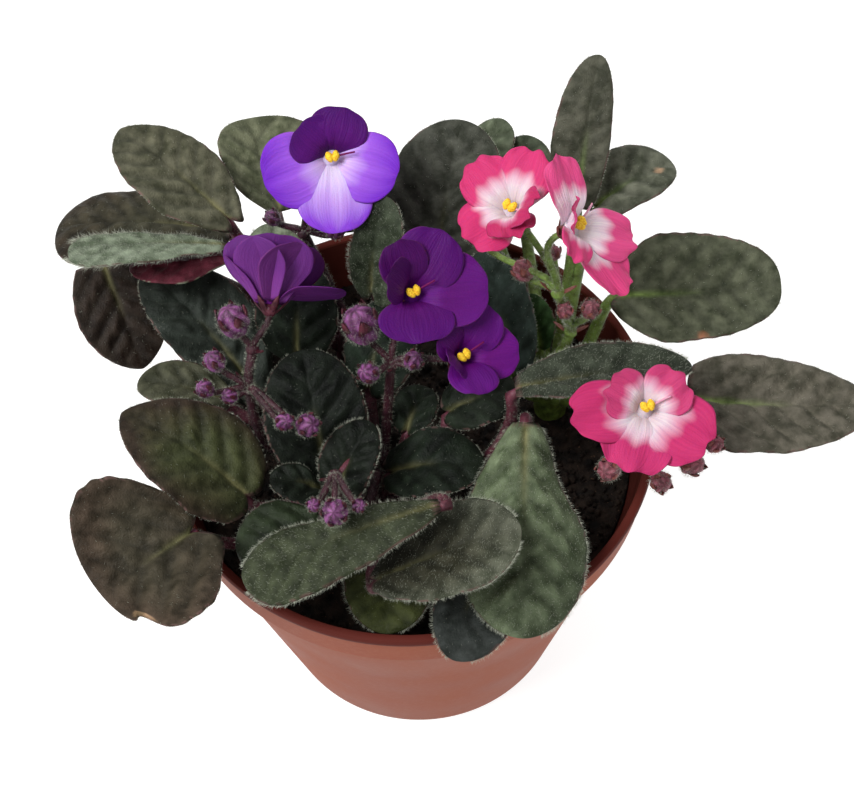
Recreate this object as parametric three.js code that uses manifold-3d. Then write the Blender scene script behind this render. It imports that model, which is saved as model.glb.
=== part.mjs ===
// A potted African violet: three small plants, one violet, one blue and one pink, crowded in a round
// moulded pot of dark peat. Millimetres, +Z up, origin at the centre of the pot's foot.
import * as THREE from "three";
import { mergeVertices } from "three/addons/utils/BufferGeometryUtils.js";
import Module from "manifold-3d";

const wasm = await Module();
wasm.setup();

// ---- driving dimensions, mm ----
const gap = 0.3; // what separate pieces keep between them where they meet
const mergeTolerance = 0.12; // facets smaller than this are merged
const pot = {
  rimRadius: 70,
  height: 110,
  footRadius: 47,
  wall: 1.8,
  collarHeight: 15,
  collarStep: 2.2,
  lipWidth: 2.6,
  bossRadius: 12,
  footRingWidth: 7,
  footRise: 3,
  sides: 34,
};
const drain = { count: 6, ringRadius: 27, radius: 4, notchWidth: 7, notchCount: 4 };
const soil = { level: 92, relief: 1.6, sides: 26 };
const stem = { radius: 5.5, buried: 12, rootHeight: 98, top: 106, sides: 8 };
const blade = { thickness: 1.2, petioleRoot: 2.1, petioleNeck: 1.5 };
const petal = { thickness: 0.8, throatRadius: 2.0, throatDepth: 3.2 };
const stalk = { trunkRadius: 1.6, pedicelRadius: 0.95, sides: 5 };

// ---- colours and finishes ----
const finish = (color, roughness) => new THREE.MeshStandardMaterial({ color, roughness, metalness: 0 });
const finishes = {
  terracotta: finish(0xa8604f, 0.55),
  peat: finish(0x15110e, 1.0),
  leafGreen: finish(0x35452f, 0.8),
  leafBronze: finish(0x453f35, 0.8),
  maroonStem: finish(0x5d2030, 0.7),
  greenStem: finish(0x7d9a4a, 0.7),
  violetPetal: finish(0x5b1a96, 0.6),
  bluePetal: finish(0x8a4fd6, 0.6),
  pinkPetal: finish(0xd9478a, 0.6),
  anther: finish(0xf2c81c, 0.6),
};

// ---- small helpers ----
const vec = (p) => new THREE.Vector3(p[0], p[1], p[2]);
const radians = THREE.MathUtils.degToRad;
const up = new THREE.Vector3(0, 0, 1);

// Closed geometry to solid, with its faces turned out.
function toSolid(geometry) {
  const bare = new THREE.BufferGeometry();
  bare.setAttribute("position", geometry.getAttribute("position").clone());
  bare.setIndex(geometry.index ? geometry.index.clone() : null);
  const merged = mergeVertices(bare, 1e-4);
  const corners = merged.index.array;
  const kept = [];
  for (let i = 0; i < corners.length; i += 3) {
    const [a, b, c] = [corners[i], corners[i + 1], corners[i + 2]];
    if (a !== b && b !== c && a !== c) kept.push(a, b, c);
  }
  const build = (triangles) =>
    new wasm.Manifold(
      new wasm.Mesh({
        numProp: 3,
        vertProperties: new Float32Array(merged.attributes.position.array),
        triVerts: new Uint32Array(triangles),
      }),
    );
  const made = build(kept);
  if (made.volume() > 0) return made;
  for (let i = 0; i < kept.length; i += 3) [kept[i + 1], kept[i + 2]] = [kept[i + 2], kept[i + 1]];
  return build(kept);
}

function toMesh(name, solid, material) {
  const data = solid.getMesh();
  const geometry = new THREE.BufferGeometry();
  geometry.setAttribute("position", new THREE.BufferAttribute(new Float32Array(data.vertProperties), 3));
  geometry.setIndex(new THREE.BufferAttribute(new Uint32Array(data.triVerts), 1));
  geometry.computeVertexNormals();
  const mesh = new THREE.Mesh(geometry, material);
  mesh.name = name;
  return mesh;
}

const fuse = (solids) => solids.reduce((joined, next) => joined.add(next));

// The largest body of a solid, without the scraps and slivers that joining and cutting can leave.
function mainBody(solid) {
  const bodies = solid.asOriginal().simplify(mergeTolerance).decompose();
  return bodies.reduce((best, body) => (body.volume() > best.volume() ? body : best));
}

// A round tapered stem bent along a curve: a capped cylinder with its rings moved onto the curve.
function taperedStem(curve, startRadius, endRadius, segments, sides) {
  const tube = new THREE.CylinderGeometry(1, 1, 1, sides, segments);
  const frames = curve.computeFrenetFrames(segments, false);
  const rings = [];
  for (let i = 0; i <= segments; i++) rings.push(curve.getPoint(i / segments));
  const position = tube.getAttribute("position");
  for (let i = 0; i < position.count; i++) {
    const ring = Math.round((position.getY(i) + 0.5) * segments);
    const radius = startRadius + ((endRadius - startRadius) * ring) / segments;
    const point = rings[ring].clone();
    point.addScaledVector(frames.normals[ring], position.getX(i) * radius);
    point.addScaledVector(frames.binormals[ring], position.getZ(i) * radius);
    position.setXYZ(i, point.x, point.y, point.z);
  }
  return toSolid(tube);
}

// A thin closed blade over the square u 0..1 (base to tip), v -1..1 (side to side), with both faces
// split into the same triangles. surface(u, v) gives the middle of its thickness.
function thinBlade(surface, lengthCells, widthCells, thickness) {
  const sheet = new THREE.PlaneGeometry(2, 1, widthCells, lengthCells);
  const flat = sheet.getAttribute("position");
  const count = flat.count;
  const points = new Float32Array(count * 6);
  const step = 0.02;
  for (let i = 0; i < count; i++) {
    const u = flat.getY(i) + 0.5;
    const v = flat.getX(i);
    const innerU = THREE.MathUtils.clamp(u, step, 1 - 2 * step);
    const innerV = u > 1 - step ? 0 : v; // all of a tip's points share one way up, so its faces don't cross
    const alongBlade = surface(innerU + step, innerV).sub(surface(innerU - step, innerV));
    const acrossBlade = surface(innerU, innerV + step).sub(surface(innerU, innerV - step));
    const normal = alongBlade.cross(acrossBlade).normalize().multiplyScalar(thickness / 2);
    const middle = surface(u, v);
    middle.clone().add(normal).toArray(points, i * 3);
    middle.clone().sub(normal).toArray(points, (count + i) * 3);
  }
  const face = Array.from(sheet.index.array);
  const corners = [...face];
  for (let i = 0; i < face.length; i += 3) {
    corners.push(face[i] + count, face[i + 2] + count, face[i + 1] + count);
  }
  const columns = widthCells + 1;
  const border = [];
  for (let c = 0; c < widthCells; c++) border.push(c);
  for (let r = 0; r < lengthCells; r++) border.push(r * columns + widthCells);
  for (let c = widthCells; c > 0; c--) border.push(lengthCells * columns + c);
  for (let r = lengthCells; r > 0; r--) border.push(r * columns);
  border.forEach((a, i) => {
    const b = border[(i + 1) % border.length];
    corners.push(a, b, b + count, a, b + count, a + count);
  });
  const closed = new THREE.BufferGeometry();
  closed.setAttribute("position", new THREE.BufferAttribute(points, 3));
  closed.setIndex(corners);
  return toSolid(closed);
}

// ---- pot ----
const potTaper = (z) => {
  const bodyTop = pot.rimRadius - pot.collarStep - 1.4;
  return pot.footRadius + ((bodyTop - pot.footRadius) * z) / (pot.height - pot.collarHeight);
};
const potInside = (z) => potTaper(z) - pot.wall;

function makePot() {
  const collarFoot = pot.height - pot.collarHeight;
  const floor = pot.footRise + pot.wall;
  const ringInside = pot.footRadius - pot.footRingWidth;
  const profile = [
    [0, 0],
    [pot.bossRadius, 0],
    [pot.bossRadius + 2, pot.footRise],
    [ringInside - 2, pot.footRise],
    [ringInside, 0],
    [pot.footRadius - 1, 0],
    [potTaper(1.5), 1.5],
    [potTaper(collarFoot), collarFoot],
    [pot.rimRadius - 1.6, collarFoot + 0.8],
    [pot.rimRadius - 0.6, pot.height - 2],
    [pot.rimRadius, pot.height - 1.6],
    [pot.rimRadius - 0.2, pot.height],
    [pot.rimRadius - pot.lipWidth, pot.height],
    [potInside(collarFoot) + 1.2, collarFoot + 1.5],
    [potInside(collarFoot), collarFoot - 1.5],
    [potInside(floor), floor],
    [0, floor],
  ].map(([r, z]) => new THREE.Vector2(r, z));
  let body = toSolid(new THREE.LatheGeometry(profile, pot.sides).rotateX(Math.PI / 2));
  for (let i = 0; i < drain.count; i++) {
    const hole = new THREE.CylinderGeometry(drain.radius, drain.radius, 4 * floor, 8).rotateX(Math.PI / 2);
    hole.translate(drain.ringRadius, 0, 0).rotateZ((i * 2 * Math.PI) / drain.count);
    body = body.subtract(toSolid(hole));
  }
  for (let i = 0; i < drain.notchCount; i++) {
    const notch = new THREE.BoxGeometry(pot.footRingWidth + 6, drain.notchWidth, pot.footRise);
    notch.translate(pot.footRadius - pot.footRingWidth / 2, 0, 0);
    notch.rotateZ(((i + 0.5) * 2 * Math.PI) / drain.notchCount);
    body = body.subtract(toSolid(notch));
  }
  return toMesh("pot", mainBody(body), finishes.terracotta);
}

// ---- crowns: where each plant stands, mm from the pot's centre ----
const crowns = {
  violet: { at: [-10, -15], finish: finishes.maroonStem },
  blue: { at: [-16, 34], finish: finishes.maroonStem },
  pink: { at: [42, 12], finish: finishes.greenStem },
};

function makeSoil() {
  const rings = [0, 10, 20, 30, 40, 50, 58];
  const lift = (r, turn) =>
    soil.relief * 0.5 * (Math.sin(0.31 * r + 3 * turn) + Math.cos(0.23 * r - 5 * turn) * Math.min(1, r / 20));
  const floor = pot.footRise + pot.wall + gap;
  const edge = potInside(soil.level) - 2 * gap;
  const profile = [new THREE.Vector2(0, floor), new THREE.Vector2(potInside(floor) - 2 * gap, floor)];
  profile.push(new THREE.Vector2(edge, soil.level));
  rings.slice().reverse().forEach((r) => profile.push(new THREE.Vector2(r, soil.level)));
  const lathe = new THREE.LatheGeometry(profile, soil.sides).rotateX(Math.PI / 2);
  const position = lathe.getAttribute("position");
  for (let i = 0; i < position.count; i++) {
    const [x, y, z] = [position.getX(i), position.getY(i), position.getZ(i)];
    const r = Math.hypot(x, y);
    const raised = z > soil.level - 1 && r < edge - 1 && r > 1e-3;
    if (raised) position.setZ(i, z + lift(r, Math.atan2(y, x)));
  }
  let body = toSolid(lathe);
  for (const crown of Object.values(crowns)) {
    const radius = stem.radius + gap + 0.4;
    const hole = new THREE.CylinderGeometry(radius, radius, 2 * stem.buried + 6, stem.sides);
    hole.rotateX(Math.PI / 2).translate(crown.at[0], crown.at[1], soil.level + 2);
    body = body.subtract(toSolid(hole));
  }
  return toMesh("soil", mainBody(body), finishes.peat);
}

// ---- leaves ----
// neck: where the petiole meets the blade; tip: the blade's far end; width across; all mm.
// roll: degrees the face leans to the right, looking from neck to tip. arch: how far the midrib bows up,
// cup: how far the edges stand up (below 0 they hang), as shares of length and half width.
// heel: width at the base as a share of the width; widest: how far along the blade is widest; lop: how
// much wider the right half is; lobe: how far the base runs back past the neck; point: 0.5 for a round
// tip, up to 1 for a pointed one. bend and neckBend: shift the petiole's middle, and only the half near
// the neck, mm.
const leafHabit = {
  roll: 0,
  arch: 0.1,
  cup: 0.15,
  heel: 0.6,
  lobe: 0.1,
  point: 0.5,
  widest: 0.45,
  lop: 0,
  bend: [0, 0, 0],
  neckBend: [0, 0, 0],
};
const leaves = {
  back_left: {
    crown: "blue", neck: [-48, 50, 143], tip: [-78, 79, 152], width: 26,
    arch: 0.04, cup: 0.3, heel: 0.45, widest: 0.37, point: 0.65, lop: -0.15,
  },
  back_mid: {
    crown: "blue", neck: [-34, 60, 132], tip: [-42, 86, 145], width: 31,
    roll: 15, arch: 0.04, cup: 0.3, heel: 0.2, widest: 0.55, lobe: 0, point: 0.43, lop: 0.1,
  },
  far_left: {
    crown: "blue", neck: [-50, 64, 119], tip: [-103, 72, 119], width: 33,
    roll: 8, arch: 0.06, cup: 0, heel: 0.55, widest: 0.7, lobe: 0, lop: -0.15, bend: [0, 0, 8],
  },
  silver: {
    crown: "blue", neck: [-48, 40, 143], tip: [-92, 41, 145], width: 18,
    roll: 20, arch: 0.02, cup: 0.05, heel: 0.2, widest: 0.8, lobe: 0, lop: -0.35, bend: [0, -2, 4],
  },
  left_down: {
    crown: "blue", neck: [-87, 51, 126], tip: [-77, 25, 107], width: 26,
    lobe: 0, point: 0.7, bend: [-3, -4, 15],
  },
  left_inner: { crown: "violet", neck: [-45, 14, 110], tip: [-72, 42, 132], width: 27, lop: 0.1 },
  left_small: { crown: "violet", neck: [-52, 4, 119], tip: [-75, 9, 124], width: 16 },
  front_left_big: {
    crown: "violet", neck: [-45, -29, 121], tip: [-76, -9, 137], width: 31,
    roll: 4, cup: 0.2, heel: 0.65, widest: 0.3, lobe: 0.06, point: 0.7, lop: -0.05,
  },
  front_left_low: {
    crown: "violet", neck: [-59, -43, 128], tip: [-81, -60, 131], width: 47,
    roll: -7, arch: -0.02, cup: 0.4, heel: 0.6, widest: 0.52, lobe: 0.2, point: 0.43,
    bend: [4, 2, -20],
  },
  front_long: {
    crown: "violet", neck: [6, -49, 145], tip: [-46, -56, 127], width: 20,
    roll: -6, arch: 0.04, cup: 0.05, heel: 0.2, widest: 0.75, lobe: 0, lop: -0.25, point: 0.6,
    bend: [-4, -5, -1], neckBend: [-6, 12, 2],
  },
  front_left_back: { crown: "violet", neck: [-27, -38, 118], tip: [-48, -44, 119], width: 24, lop: -0.2 },
  front_cup: {
    crown: "violet", neck: [-11, -58, 124], tip: [26, -53, 138], width: 30,
    roll: -9, arch: 0.03, cup: 0.2, heel: 0.3, widest: 0.63, lobe: 0.05, lop: 0.15, point: 0.6,
  },
  front_olive: { crown: "violet", neck: [-7, -42, 104], tip: [-10, -65, 108], width: 24 },
  front_dark: { crown: "violet", neck: [15, -51, 109], tip: [8, -76, 112], width: 22, lop: -0.2 },
  front_right: {
    crown: "violet", neck: [30, -24, 141], tip: [25, -75, 119], width: 33,
    arch: -0.02, cup: 0.1, heel: 0.2, widest: 0.6, lobe: 0, point: 0.55, bend: [4, 0, -14],
  },
  centre_front: { crown: "violet", neck: [-6, -20, 113], tip: [19, -23, 120], width: 22 },
  round_inner: { crown: "violet", neck: [-21, -29, 118], tip: [-11, -15, 132], width: 16 },
  tiny_inner: { crown: "violet", neck: [-26, -26, 117], tip: [-38, -26, 125], width: 13, lop: -0.2 },
  mid_left: { crown: "violet", neck: [-24, -19, 114], tip: [-28, 7, 136], width: 28 },
  mid_back_left: { crown: "violet", neck: [-31, 21, 115], tip: [-28, 37, 136], width: 24 },
  mid_back: { crown: "violet", neck: [-11, 7, 116], tip: [-3, 24, 134], width: 21, lop: 0.15 },
  centre_mid: { crown: "violet", neck: [-1, -7, 114], tip: [5, 5, 118], width: 13 },
  under_flower: {
    crown: "violet", neck: [11, -7, 122], tip: [30, -4, 127], width: 20,
    bend: [2, -6, -4],
  },
  behind_flower: { crown: "pink", neck: [30, 9, 113], tip: [25, 32, 143], width: 22, lop: -0.2 },
  up_fold: {
    crown: "blue", neck: [-8, 24, 137], tip: [-3, 33, 166], width: 18,
    cup: 0.5, lop: 0.3,
  },
  back_big: { crown: "blue", neck: [11, 40, 126], tip: [20, 65, 160], width: 35 },
  back_small_a: { crown: "pink", neck: [25, 74, 130], tip: [34, 81, 142], width: 16, lop: 0.2 },
  back_small_b: { crown: "pink", neck: [37, 68, 128], tip: [41, 76, 140], width: 17, lop: 0.15 },
  back_tall: { crown: "pink", neck: [51, 44, 144], tip: [58, 69, 178], width: 16, lobe: 0, lop: -0.15 },
  back_right_small: { crown: "pink", neck: [57, 46, 142], tip: [79, 54, 150], width: 21, lop: -0.1 },
  right_upper: {
    crown: "pink", neck: [61, 21, 133], tip: [105, 17, 137], width: 32,
    roll: 18, arch: -0.04, heel: 0.45, widest: 0.3, lobe: 0.06, lop: -0.08, point: 0.4,
  },
  fold: {
    crown: "violet", neck: [28, -16, 145], tip: [74, -15, 149], width: 19,
    roll: -14, arch: 0.02, cup: 0.3, heel: 0.4, lobe: 0, bend: [4, -4, -15], neckBend: [6, 6, 0],
  },
  right_low: {
    crown: "pink", neck: [77, -12, 128], tip: [126, -19, 129], width: 33,
    arch: -0.04, cup: 0.2, heel: 0.7, widest: 0.27, lobe: 0.03, lop: 0.1, point: 0.75,
  },
  young: { crown: "pink", neck: [39, 20, 112], tip: [37, 30, 124], width: 10, cup: 0.5 },
  silver_small: { crown: "blue", neck: [-34, 41, 119], tip: [-38, 50, 138], width: 19 },
};

function leafShape(name) {
  const leaf = { ...leafHabit, ...leaves[name] };
  const neck = vec(leaf.neck);
  const tip = vec(leaf.tip);
  const along = tip.clone().sub(neck);
  const length = along.length();
  along.normalize();
  const level = up.clone().addScaledVector(along, -along.z).normalize();
  const right = along.clone().cross(level);
  const turn = radians(leaf.roll);
  const normal = level.clone().multiplyScalar(Math.cos(turn)).addScaledVector(right, Math.sin(turn));
  const side = right.clone().multiplyScalar(Math.cos(turn)).addScaledVector(level, -Math.sin(turn));
  const halfWidth = leaf.width / 2;
  const spread = (u) => {
    if (u < leaf.widest) return 1 - (1 - leaf.heel) * ((leaf.widest - u) / leaf.widest) ** 2;
    return (1 - ((u - leaf.widest) / (1 - leaf.widest)) ** 2.2) ** leaf.point;
  };
  const surface = (u, v) => {
    const reach = Math.min(1, Math.max(0, u));
    const out = spread(reach) * v * halfWidth * (1 + leaf.lop * v);
    const heelFade = Math.max(0, 1 - reach / leaf.widest) ** 2;
    const back = leaf.lobe * length * Math.sin(Math.PI * Math.min(1, Math.abs(v)) ** 0.8) * heelFade;
    const bow = leaf.arch * length * (4 * reach * (1 - reach) - 0.6 * reach * reach);
    const lift = bow + (leaf.cup * out * out) / halfWidth;
    const point = neck.clone().addScaledVector(along, length * u - back);
    return point.addScaledVector(side, out).addScaledVector(normal, lift);
  };
  return { ...leaf, neck, tip, along, length, normal, side, surface };
}

function makeLeaf(name) {
  const shape = leafShape(name);
  const solid = thinBlade(shape.surface, 6, shape.width > 22 ? 6 : 4, blade.thickness);
  const material = crowns[shape.crown] === crowns.pink ? finishes.leafGreen : finishes.leafBronze;
  return toMesh("leaf_" + name, solid, material);
}

// The petiole rises from the crown and comes up under the blade's neck.
function petioleCurve(shape) {
  const [x, y] = crowns[shape.crown].at;
  const root = new THREE.Vector3(x, y, stem.rootHeight);
  const end = shape.neck.clone().addScaledVector(shape.along, -1.5);
  end.addScaledVector(shape.normal, -(blade.thickness / 2 + gap + blade.petioleNeck));
  const outward = end.clone().sub(root).setZ(0).normalize();
  root.addScaledVector(outward, stem.radius * 0.5);
  const distance = end.distanceTo(root);
  const rise = root.clone().addScaledVector(outward, distance * 0.3).addScaledVector(up, distance * 0.2);
  const under = end.clone().addScaledVector(shape.along, -distance * 0.12);
  under.addScaledVector(shape.normal, -distance * 0.12);
  rise.add(vec(shape.bend));
  under.add(vec(shape.bend)).add(vec(shape.neckBend));
  return new THREE.CubicBezierCurve3(root, rise, under, end);
}

function makeCrown(kind) {
  const crown = crowns[kind];
  const foot = soil.level + 2 - stem.buried;
  const body = new THREE.CylinderGeometry(stem.radius * 0.8, stem.radius, stem.top - foot, stem.sides);
  body.rotateX(Math.PI / 2).translate(crown.at[0], crown.at[1], (stem.top + foot) / 2);
  const solids = [toSolid(body)];
  for (const name of Object.keys(leaves)) {
    if (leaves[name].crown !== kind) continue;
    solids.push(taperedStem(petioleCurve(leafShape(name)), blade.petioleRoot, blade.petioleNeck, 5, 5));
  }
  return toMesh("crown_" + kind, mainBody(fuse(solids)), crown.finish);
}

// ---- flowers ----
// at: middle of the throat, mm; facing: where the flower looks; radius: reach of a full petal; frill:
// height of the waves along the edges, mm. For the lowest petal, the two at its sides and the upper two:
// turns, degrees clockwise from the upper side, seen from the front; lengths and widths, as shares of the
// radius; cones, degrees that each petal stands up out of the flat.
const flowers = {
  blue_top: {
    stalk: "blue", at: [-16, 44, 172], facing: [0.1, -0.62, 0.78], radius: 21, frill: 0.3,
    turns: [188, -100, 118, -38, 24],
    lengths: [0.98, 0.94, 0.87, 0.58, 0.64],
    widths: [0.86, 0.86, 0.8, 0.62, 0.66],
    cones: [8, 8, 8, 10, 8],
  },
  violet_left: {
    stalk: "violet_left", at: [-35, 17, 150], facing: [0.1, 0.9, 0.35], radius: 19, frill: 0.3,
    turns: [-110, 105, -55, 35, -12],
    lengths: [1.1, 0.85, 0.9, 0.95, 0.95],
    widths: [0.7, 0.75, 0.8, 0.75, 0.8],
    cones: [5, 42, 42, 45, 45],
  },
  violet_mid: {
    stalk: "violet_mid", at: [3, 6, 160], facing: [0.2, -0.4, 0.9], radius: 20, frill: 0.4,
    turns: [112, -158, 53, -42, 4],
    lengths: [1.0, 0.72, 0.9, 0.66, 0.72],
    widths: [0.9, 0.9, 0.8, 0.55, 0.6],
    cones: [8, 12, 12, 50, 20],
  },
  violet_low: {
    stalk: "violet_mid", at: [15, -6, 147], facing: [0.35, -0.45, 0.82], radius: 15, frill: 0.4,
    turns: [118, -155, 62, -95, -20],
    lengths: [1.05, 0.95, 1.0, 0.6, 0.66],
    widths: [0.86, 0.8, 0.86, 0.6, 0.6],
    cones: [8, 40, 12, 45, 20],
  },
  pink_back: {
    stalk: "pink_tall", at: [29, 15, 181], facing: [-0.25, -0.3, 0.9], radius: 16, frill: 1.2,
    turns: [-160, -72, -4, 86, 140],
    lengths: [0.88, 0.97, 0.98, 0.85, 0.72],
    widths: [0.9, 0.8, 0.85, 0.66, 0.7],
    cones: [10, 12, 12, 50, 25],
  },
  pink_tall: {
    stalk: "pink_tall", at: [45, 7, 182], facing: [0.6, -0.25, 0.76], radius: 19, frill: 1.2,
    turns: [-158, 38, 160, -18, -94],
    lengths: [1.1, 0.95, 0.9, 0.5, 0.66],
    widths: [0.7, 0.62, 0.66, 0.45, 0.5],
    cones: [5, 8, 8, 45, 10],
  },
  pink_front: {
    stalk: "pink_low", at: [60, -29, 152], facing: [0.1, -0.3, 0.95], radius: 21, frill: 1.3,
    turns: [-140, -78, 148, -42, 74],
    lengths: [0.88, 0.98, 0.88, 0.56, 0.58],
    widths: [0.8, 0.7, 0.85, 0.6, 0.6],
    cones: [8, 8, 8, 12, 12],
  },
};
const petalLifts = [0, 0.25, 0.5, 0.8, 1.1]; // keeps overlapping petals apart, mm

function flowerAxes(flower) {
  const facing = vec(flower.facing).normalize();
  const level = up.clone().addScaledVector(facing, -facing.z).normalize();
  return { at: vec(flower.at), facing, top: level, side: level.clone().cross(facing) };
}

function petalSurface(flower, axes, i) {
  const turn = radians(flower.turns[i]);
  const out = axes.top.clone().multiplyScalar(Math.cos(turn)).addScaledVector(axes.side, Math.sin(turn));
  const across = axes.side.clone().multiplyScalar(Math.cos(turn)).addScaledVector(axes.top, -Math.sin(turn));
  const start = petal.throatRadius - 0.6;
  const length = flower.lengths[i] * flower.radius - start;
  const half = (flower.widths[i] * flower.radius) / 2;
  const rise = Math.sin(radians(flower.cones[i]));
  const run = Math.cos(radians(flower.cones[i]));
  return (u, v) => {
    const reach = Math.min(1, Math.max(0, u));
    const spread =
      reach < 0.62
        ? 0.28 + 0.72 * Math.sin((Math.PI / 2) * (reach / 0.62))
        : Math.sqrt(1 - ((reach - 0.62) / 0.38) ** 2.4);
    const width = half * spread * v;
    const along = length * u - 0.35 * length * v * v * reach * (1 - reach);
    const wave = Math.sin(7 * v + flower.turns[i] + 5 * reach) * reach * reach * (0.4 + 0.6 * Math.abs(v));
    const dip = -petal.throatDepth * (1 - Math.min(1, 3 * reach)) ** 2;
    const height = petalLifts[i] * Math.min(1, 2 * reach) + flower.frill * wave;
    const point = axes.at.clone().addScaledVector(out, start + along * run - height * rise);
    point.addScaledVector(axes.facing, dip + height * run + along * rise);
    return point.addScaledVector(across, width);
  };
}

const moved = (from, direction, distance) => from.clone().addScaledVector(direction, distance);
const alongAxis = (from, facing, start, end) =>
  new THREE.LineCurve3(moved(from, facing, start), moved(from, facing, end));

function makeFlower(name) {
  const flower = flowers[name];
  const axes = flowerAxes(flower);
  const solids = petalLifts.map((_, i) => thinBlade(petalSurface(flower, axes, i), 3, 3, petal.thickness));
  const throat = alongAxis(axes.at, axes.facing, -petal.throatDepth - 0.6, -petal.throatDepth + 1);
  solids.push(taperedStem(throat, petal.throatRadius - 0.2, petal.throatRadius + 0.4, 1, 8));
  const finish = finishes[name.split("_")[0] + "Petal"];
  return toMesh("corolla_" + name, mainBody(fuse(solids)), finish);
}

// Two plump pollen sacs on a short filament, clear of the throat.
function makeAnthers(name) {
  const axes = flowerAxes(flowers[name]);
  const foot = -petal.throatDepth + 1 + gap;
  const solids = [taperedStem(alongAxis(axes.at, axes.facing, foot, 0.6), 0.6, 0.6, 1, 6)];
  for (const direction of [-1, 1]) {
    const sac = new THREE.SphereGeometry(1, 5, 3).scale(0.95, 1.4, 1.1);
    sac.applyMatrix4(new THREE.Matrix4().makeBasis(axes.side, axes.top, axes.facing));
    const place = moved(moved(axes.at, axes.side, direction * 0.8), axes.facing, 1.2);
    solids.push(toSolid(sac.translate(place.x, place.y, place.z)));
  }
  return toMesh("anthers_" + name, mainBody(fuse(solids)), finishes.anther);
}

// ---- flower stalks ----
// trunk: the stalk's way up from the crown to its fork; buds: [x, y, z, radius, and which trunk point
// the bud's own stem leaves from, counted from the top], mm.
const stalks = {
  blue: {
    finish: "maroonStem",
    trunk: [[-16, 34, 106], [-22, 42, 124], [-26, 40, 146]],
    buds: [[-17, 39, 147, 2.7, 0], [-8, 41, 148, 2.5, 0], [-34, 41, 152, 2.5, 0]],
  },
  violet_left: {
    finish: "maroonStem",
    trunk: [[-12, -14, 106], [-26, -11, 109], [-40, -8, 113], [-43, -2, 132], [-41, 5, 141]],
    buds: [
      [-45, 8, 150, 4.8, 0],
      [-51, 1, 142, 3.2, 1],
      [-54, -5, 138, 2.7, 1],
      [-48, -5, 134, 2.4, 1],
      [-33, -17, 138, 2.7, 1],
      [-27, -18, 137, 3.5, 1],
    ],
  },
  violet_mid: {
    finish: "maroonStem",
    trunk: [[-8, -13, 106], [-7, -7, 112], [-4, -1, 138]],
    buds: [[-11, 4, 150, 5.6, 0], [-10, -6, 142, 3.2, 0], [2, -3, 142, 2.9, 0]],
  },
  violet_front: {
    finish: "maroonStem",
    trunk: [[-10, -18, 106], [-14, -30, 110], [-19, -36, 121], [-20, -36, 140]],
    buds: [[-20, -51, 148, 3.8, 0], [-25, -48, 147, 2, 0], [-14, -49, 147, 2, 0]],
  },
  pink_tall: {
    finish: "greenStem",
    trunk: [[41, 14, 106], [47, 16, 124], [42, 12, 148]],
    buds: [
      [33, 17, 152, 3.2, 0],
      [44, 10, 142, 2.5, 1],
      [51, 10, 142, 3, 1],
      [21, 24, 160, 3.2, 0],
      [41, 16, 160, 2.1, 0],
    ],
  },
  pink_low: {
    finish: "greenStem",
    trunk: [[45, 9, 106], [54, -8, 118], [61, -21, 129]],
    buds: [[52, -31, 126, 3.5, 0], [65, -36, 126, 3.2, 0], [73, -34, 131, 3.6, 0], [79, -31, 135, 2.6, 0]],
  },
};

function pedicel(fork, to, arrival, endRadius) {
  const from = fork.clone().lerp(to, 0.6 / fork.distanceTo(to));
  const distance = from.distanceTo(to);
  const rise = from.clone().addScaledVector(up, distance * 0.35);
  const end = to.clone().addScaledVector(arrival, -distance * 0.4);
  const curve = new THREE.CubicBezierCurve3(from, rise, end, to);
  return taperedStem(curve, stalk.pedicelRadius, endRadius, 2, stalk.sides);
}

function makeStalk(name) {
  const spec = stalks[name];
  const points = spec.trunk.map(vec);
  points[0].z = stem.top + 3 * gap;
  points.splice(1, 0, points[0].clone().addScaledVector(up, 2));
  const forks = points.slice().reverse();
  const trunk = new THREE.CatmullRomCurve3(points);
  const solids = [taperedStem(trunk, stalk.trunkRadius, stalk.trunkRadius * 0.8, 2 * points.length, 6)];
  for (const forkIndex of new Set([0, ...spec.buds.map((bud) => bud[4])])) {
    const knuckle = new THREE.SphereGeometry(stalk.trunkRadius * 1.2, 6, 5);
    solids.push(toSolid(knuckle.translate(...forks[forkIndex].toArray())));
  }
  for (const flower of Object.values(flowers)) {
    if (flower.stalk !== name) continue;
    const { at, facing } = flowerAxes(flower);
    const cup = -petal.throatDepth - 0.6 - gap;
    const calyx = alongAxis(at, facing, cup - 2.6, cup);
    solids.push(taperedStem(calyx, 0.9, 2.6, 1, 6));
    solids.push(pedicel(forks[0], calyx.getPoint(0.3), facing, 0.9));
  }
  for (const [x, y, z, radius, forkIndex] of spec.buds) {
    const place = new THREE.Vector3(x, y, z);
    const fork = forks[forkIndex];
    const away = place.clone().sub(fork).normalize().add(up).normalize();
    solids.push(pedicel(fork, place.clone().addScaledVector(away, -radius * 0.5), away, 0.9));
    const bud = new THREE.SphereGeometry(radius, 6, 4).scale(1, 1.15, 1);
    bud.applyQuaternion(new THREE.Quaternion().setFromUnitVectors(new THREE.Vector3(0, 1, 0), away));
    solids.push(toSolid(bud.translate(x, y, z)));
  }
  return toMesh("stalk_" + name, mainBody(fuse(solids)), finishes[spec.finish]);
}

const group = new THREE.Group();
group.add(makePot(), makeSoil());
for (const kind of Object.keys(crowns)) group.add(makeCrown(kind));
for (const name of Object.keys(leaves)) group.add(makeLeaf(name));
for (const name of Object.keys(stalks)) group.add(makeStalk(name));
for (const name of Object.keys(flowers)) group.add(makeFlower(name), makeAnthers(name));

export default group;
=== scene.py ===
import math

import bmesh
import bpy
import numpy as np
from mathutils import Matrix, Vector, noise


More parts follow.
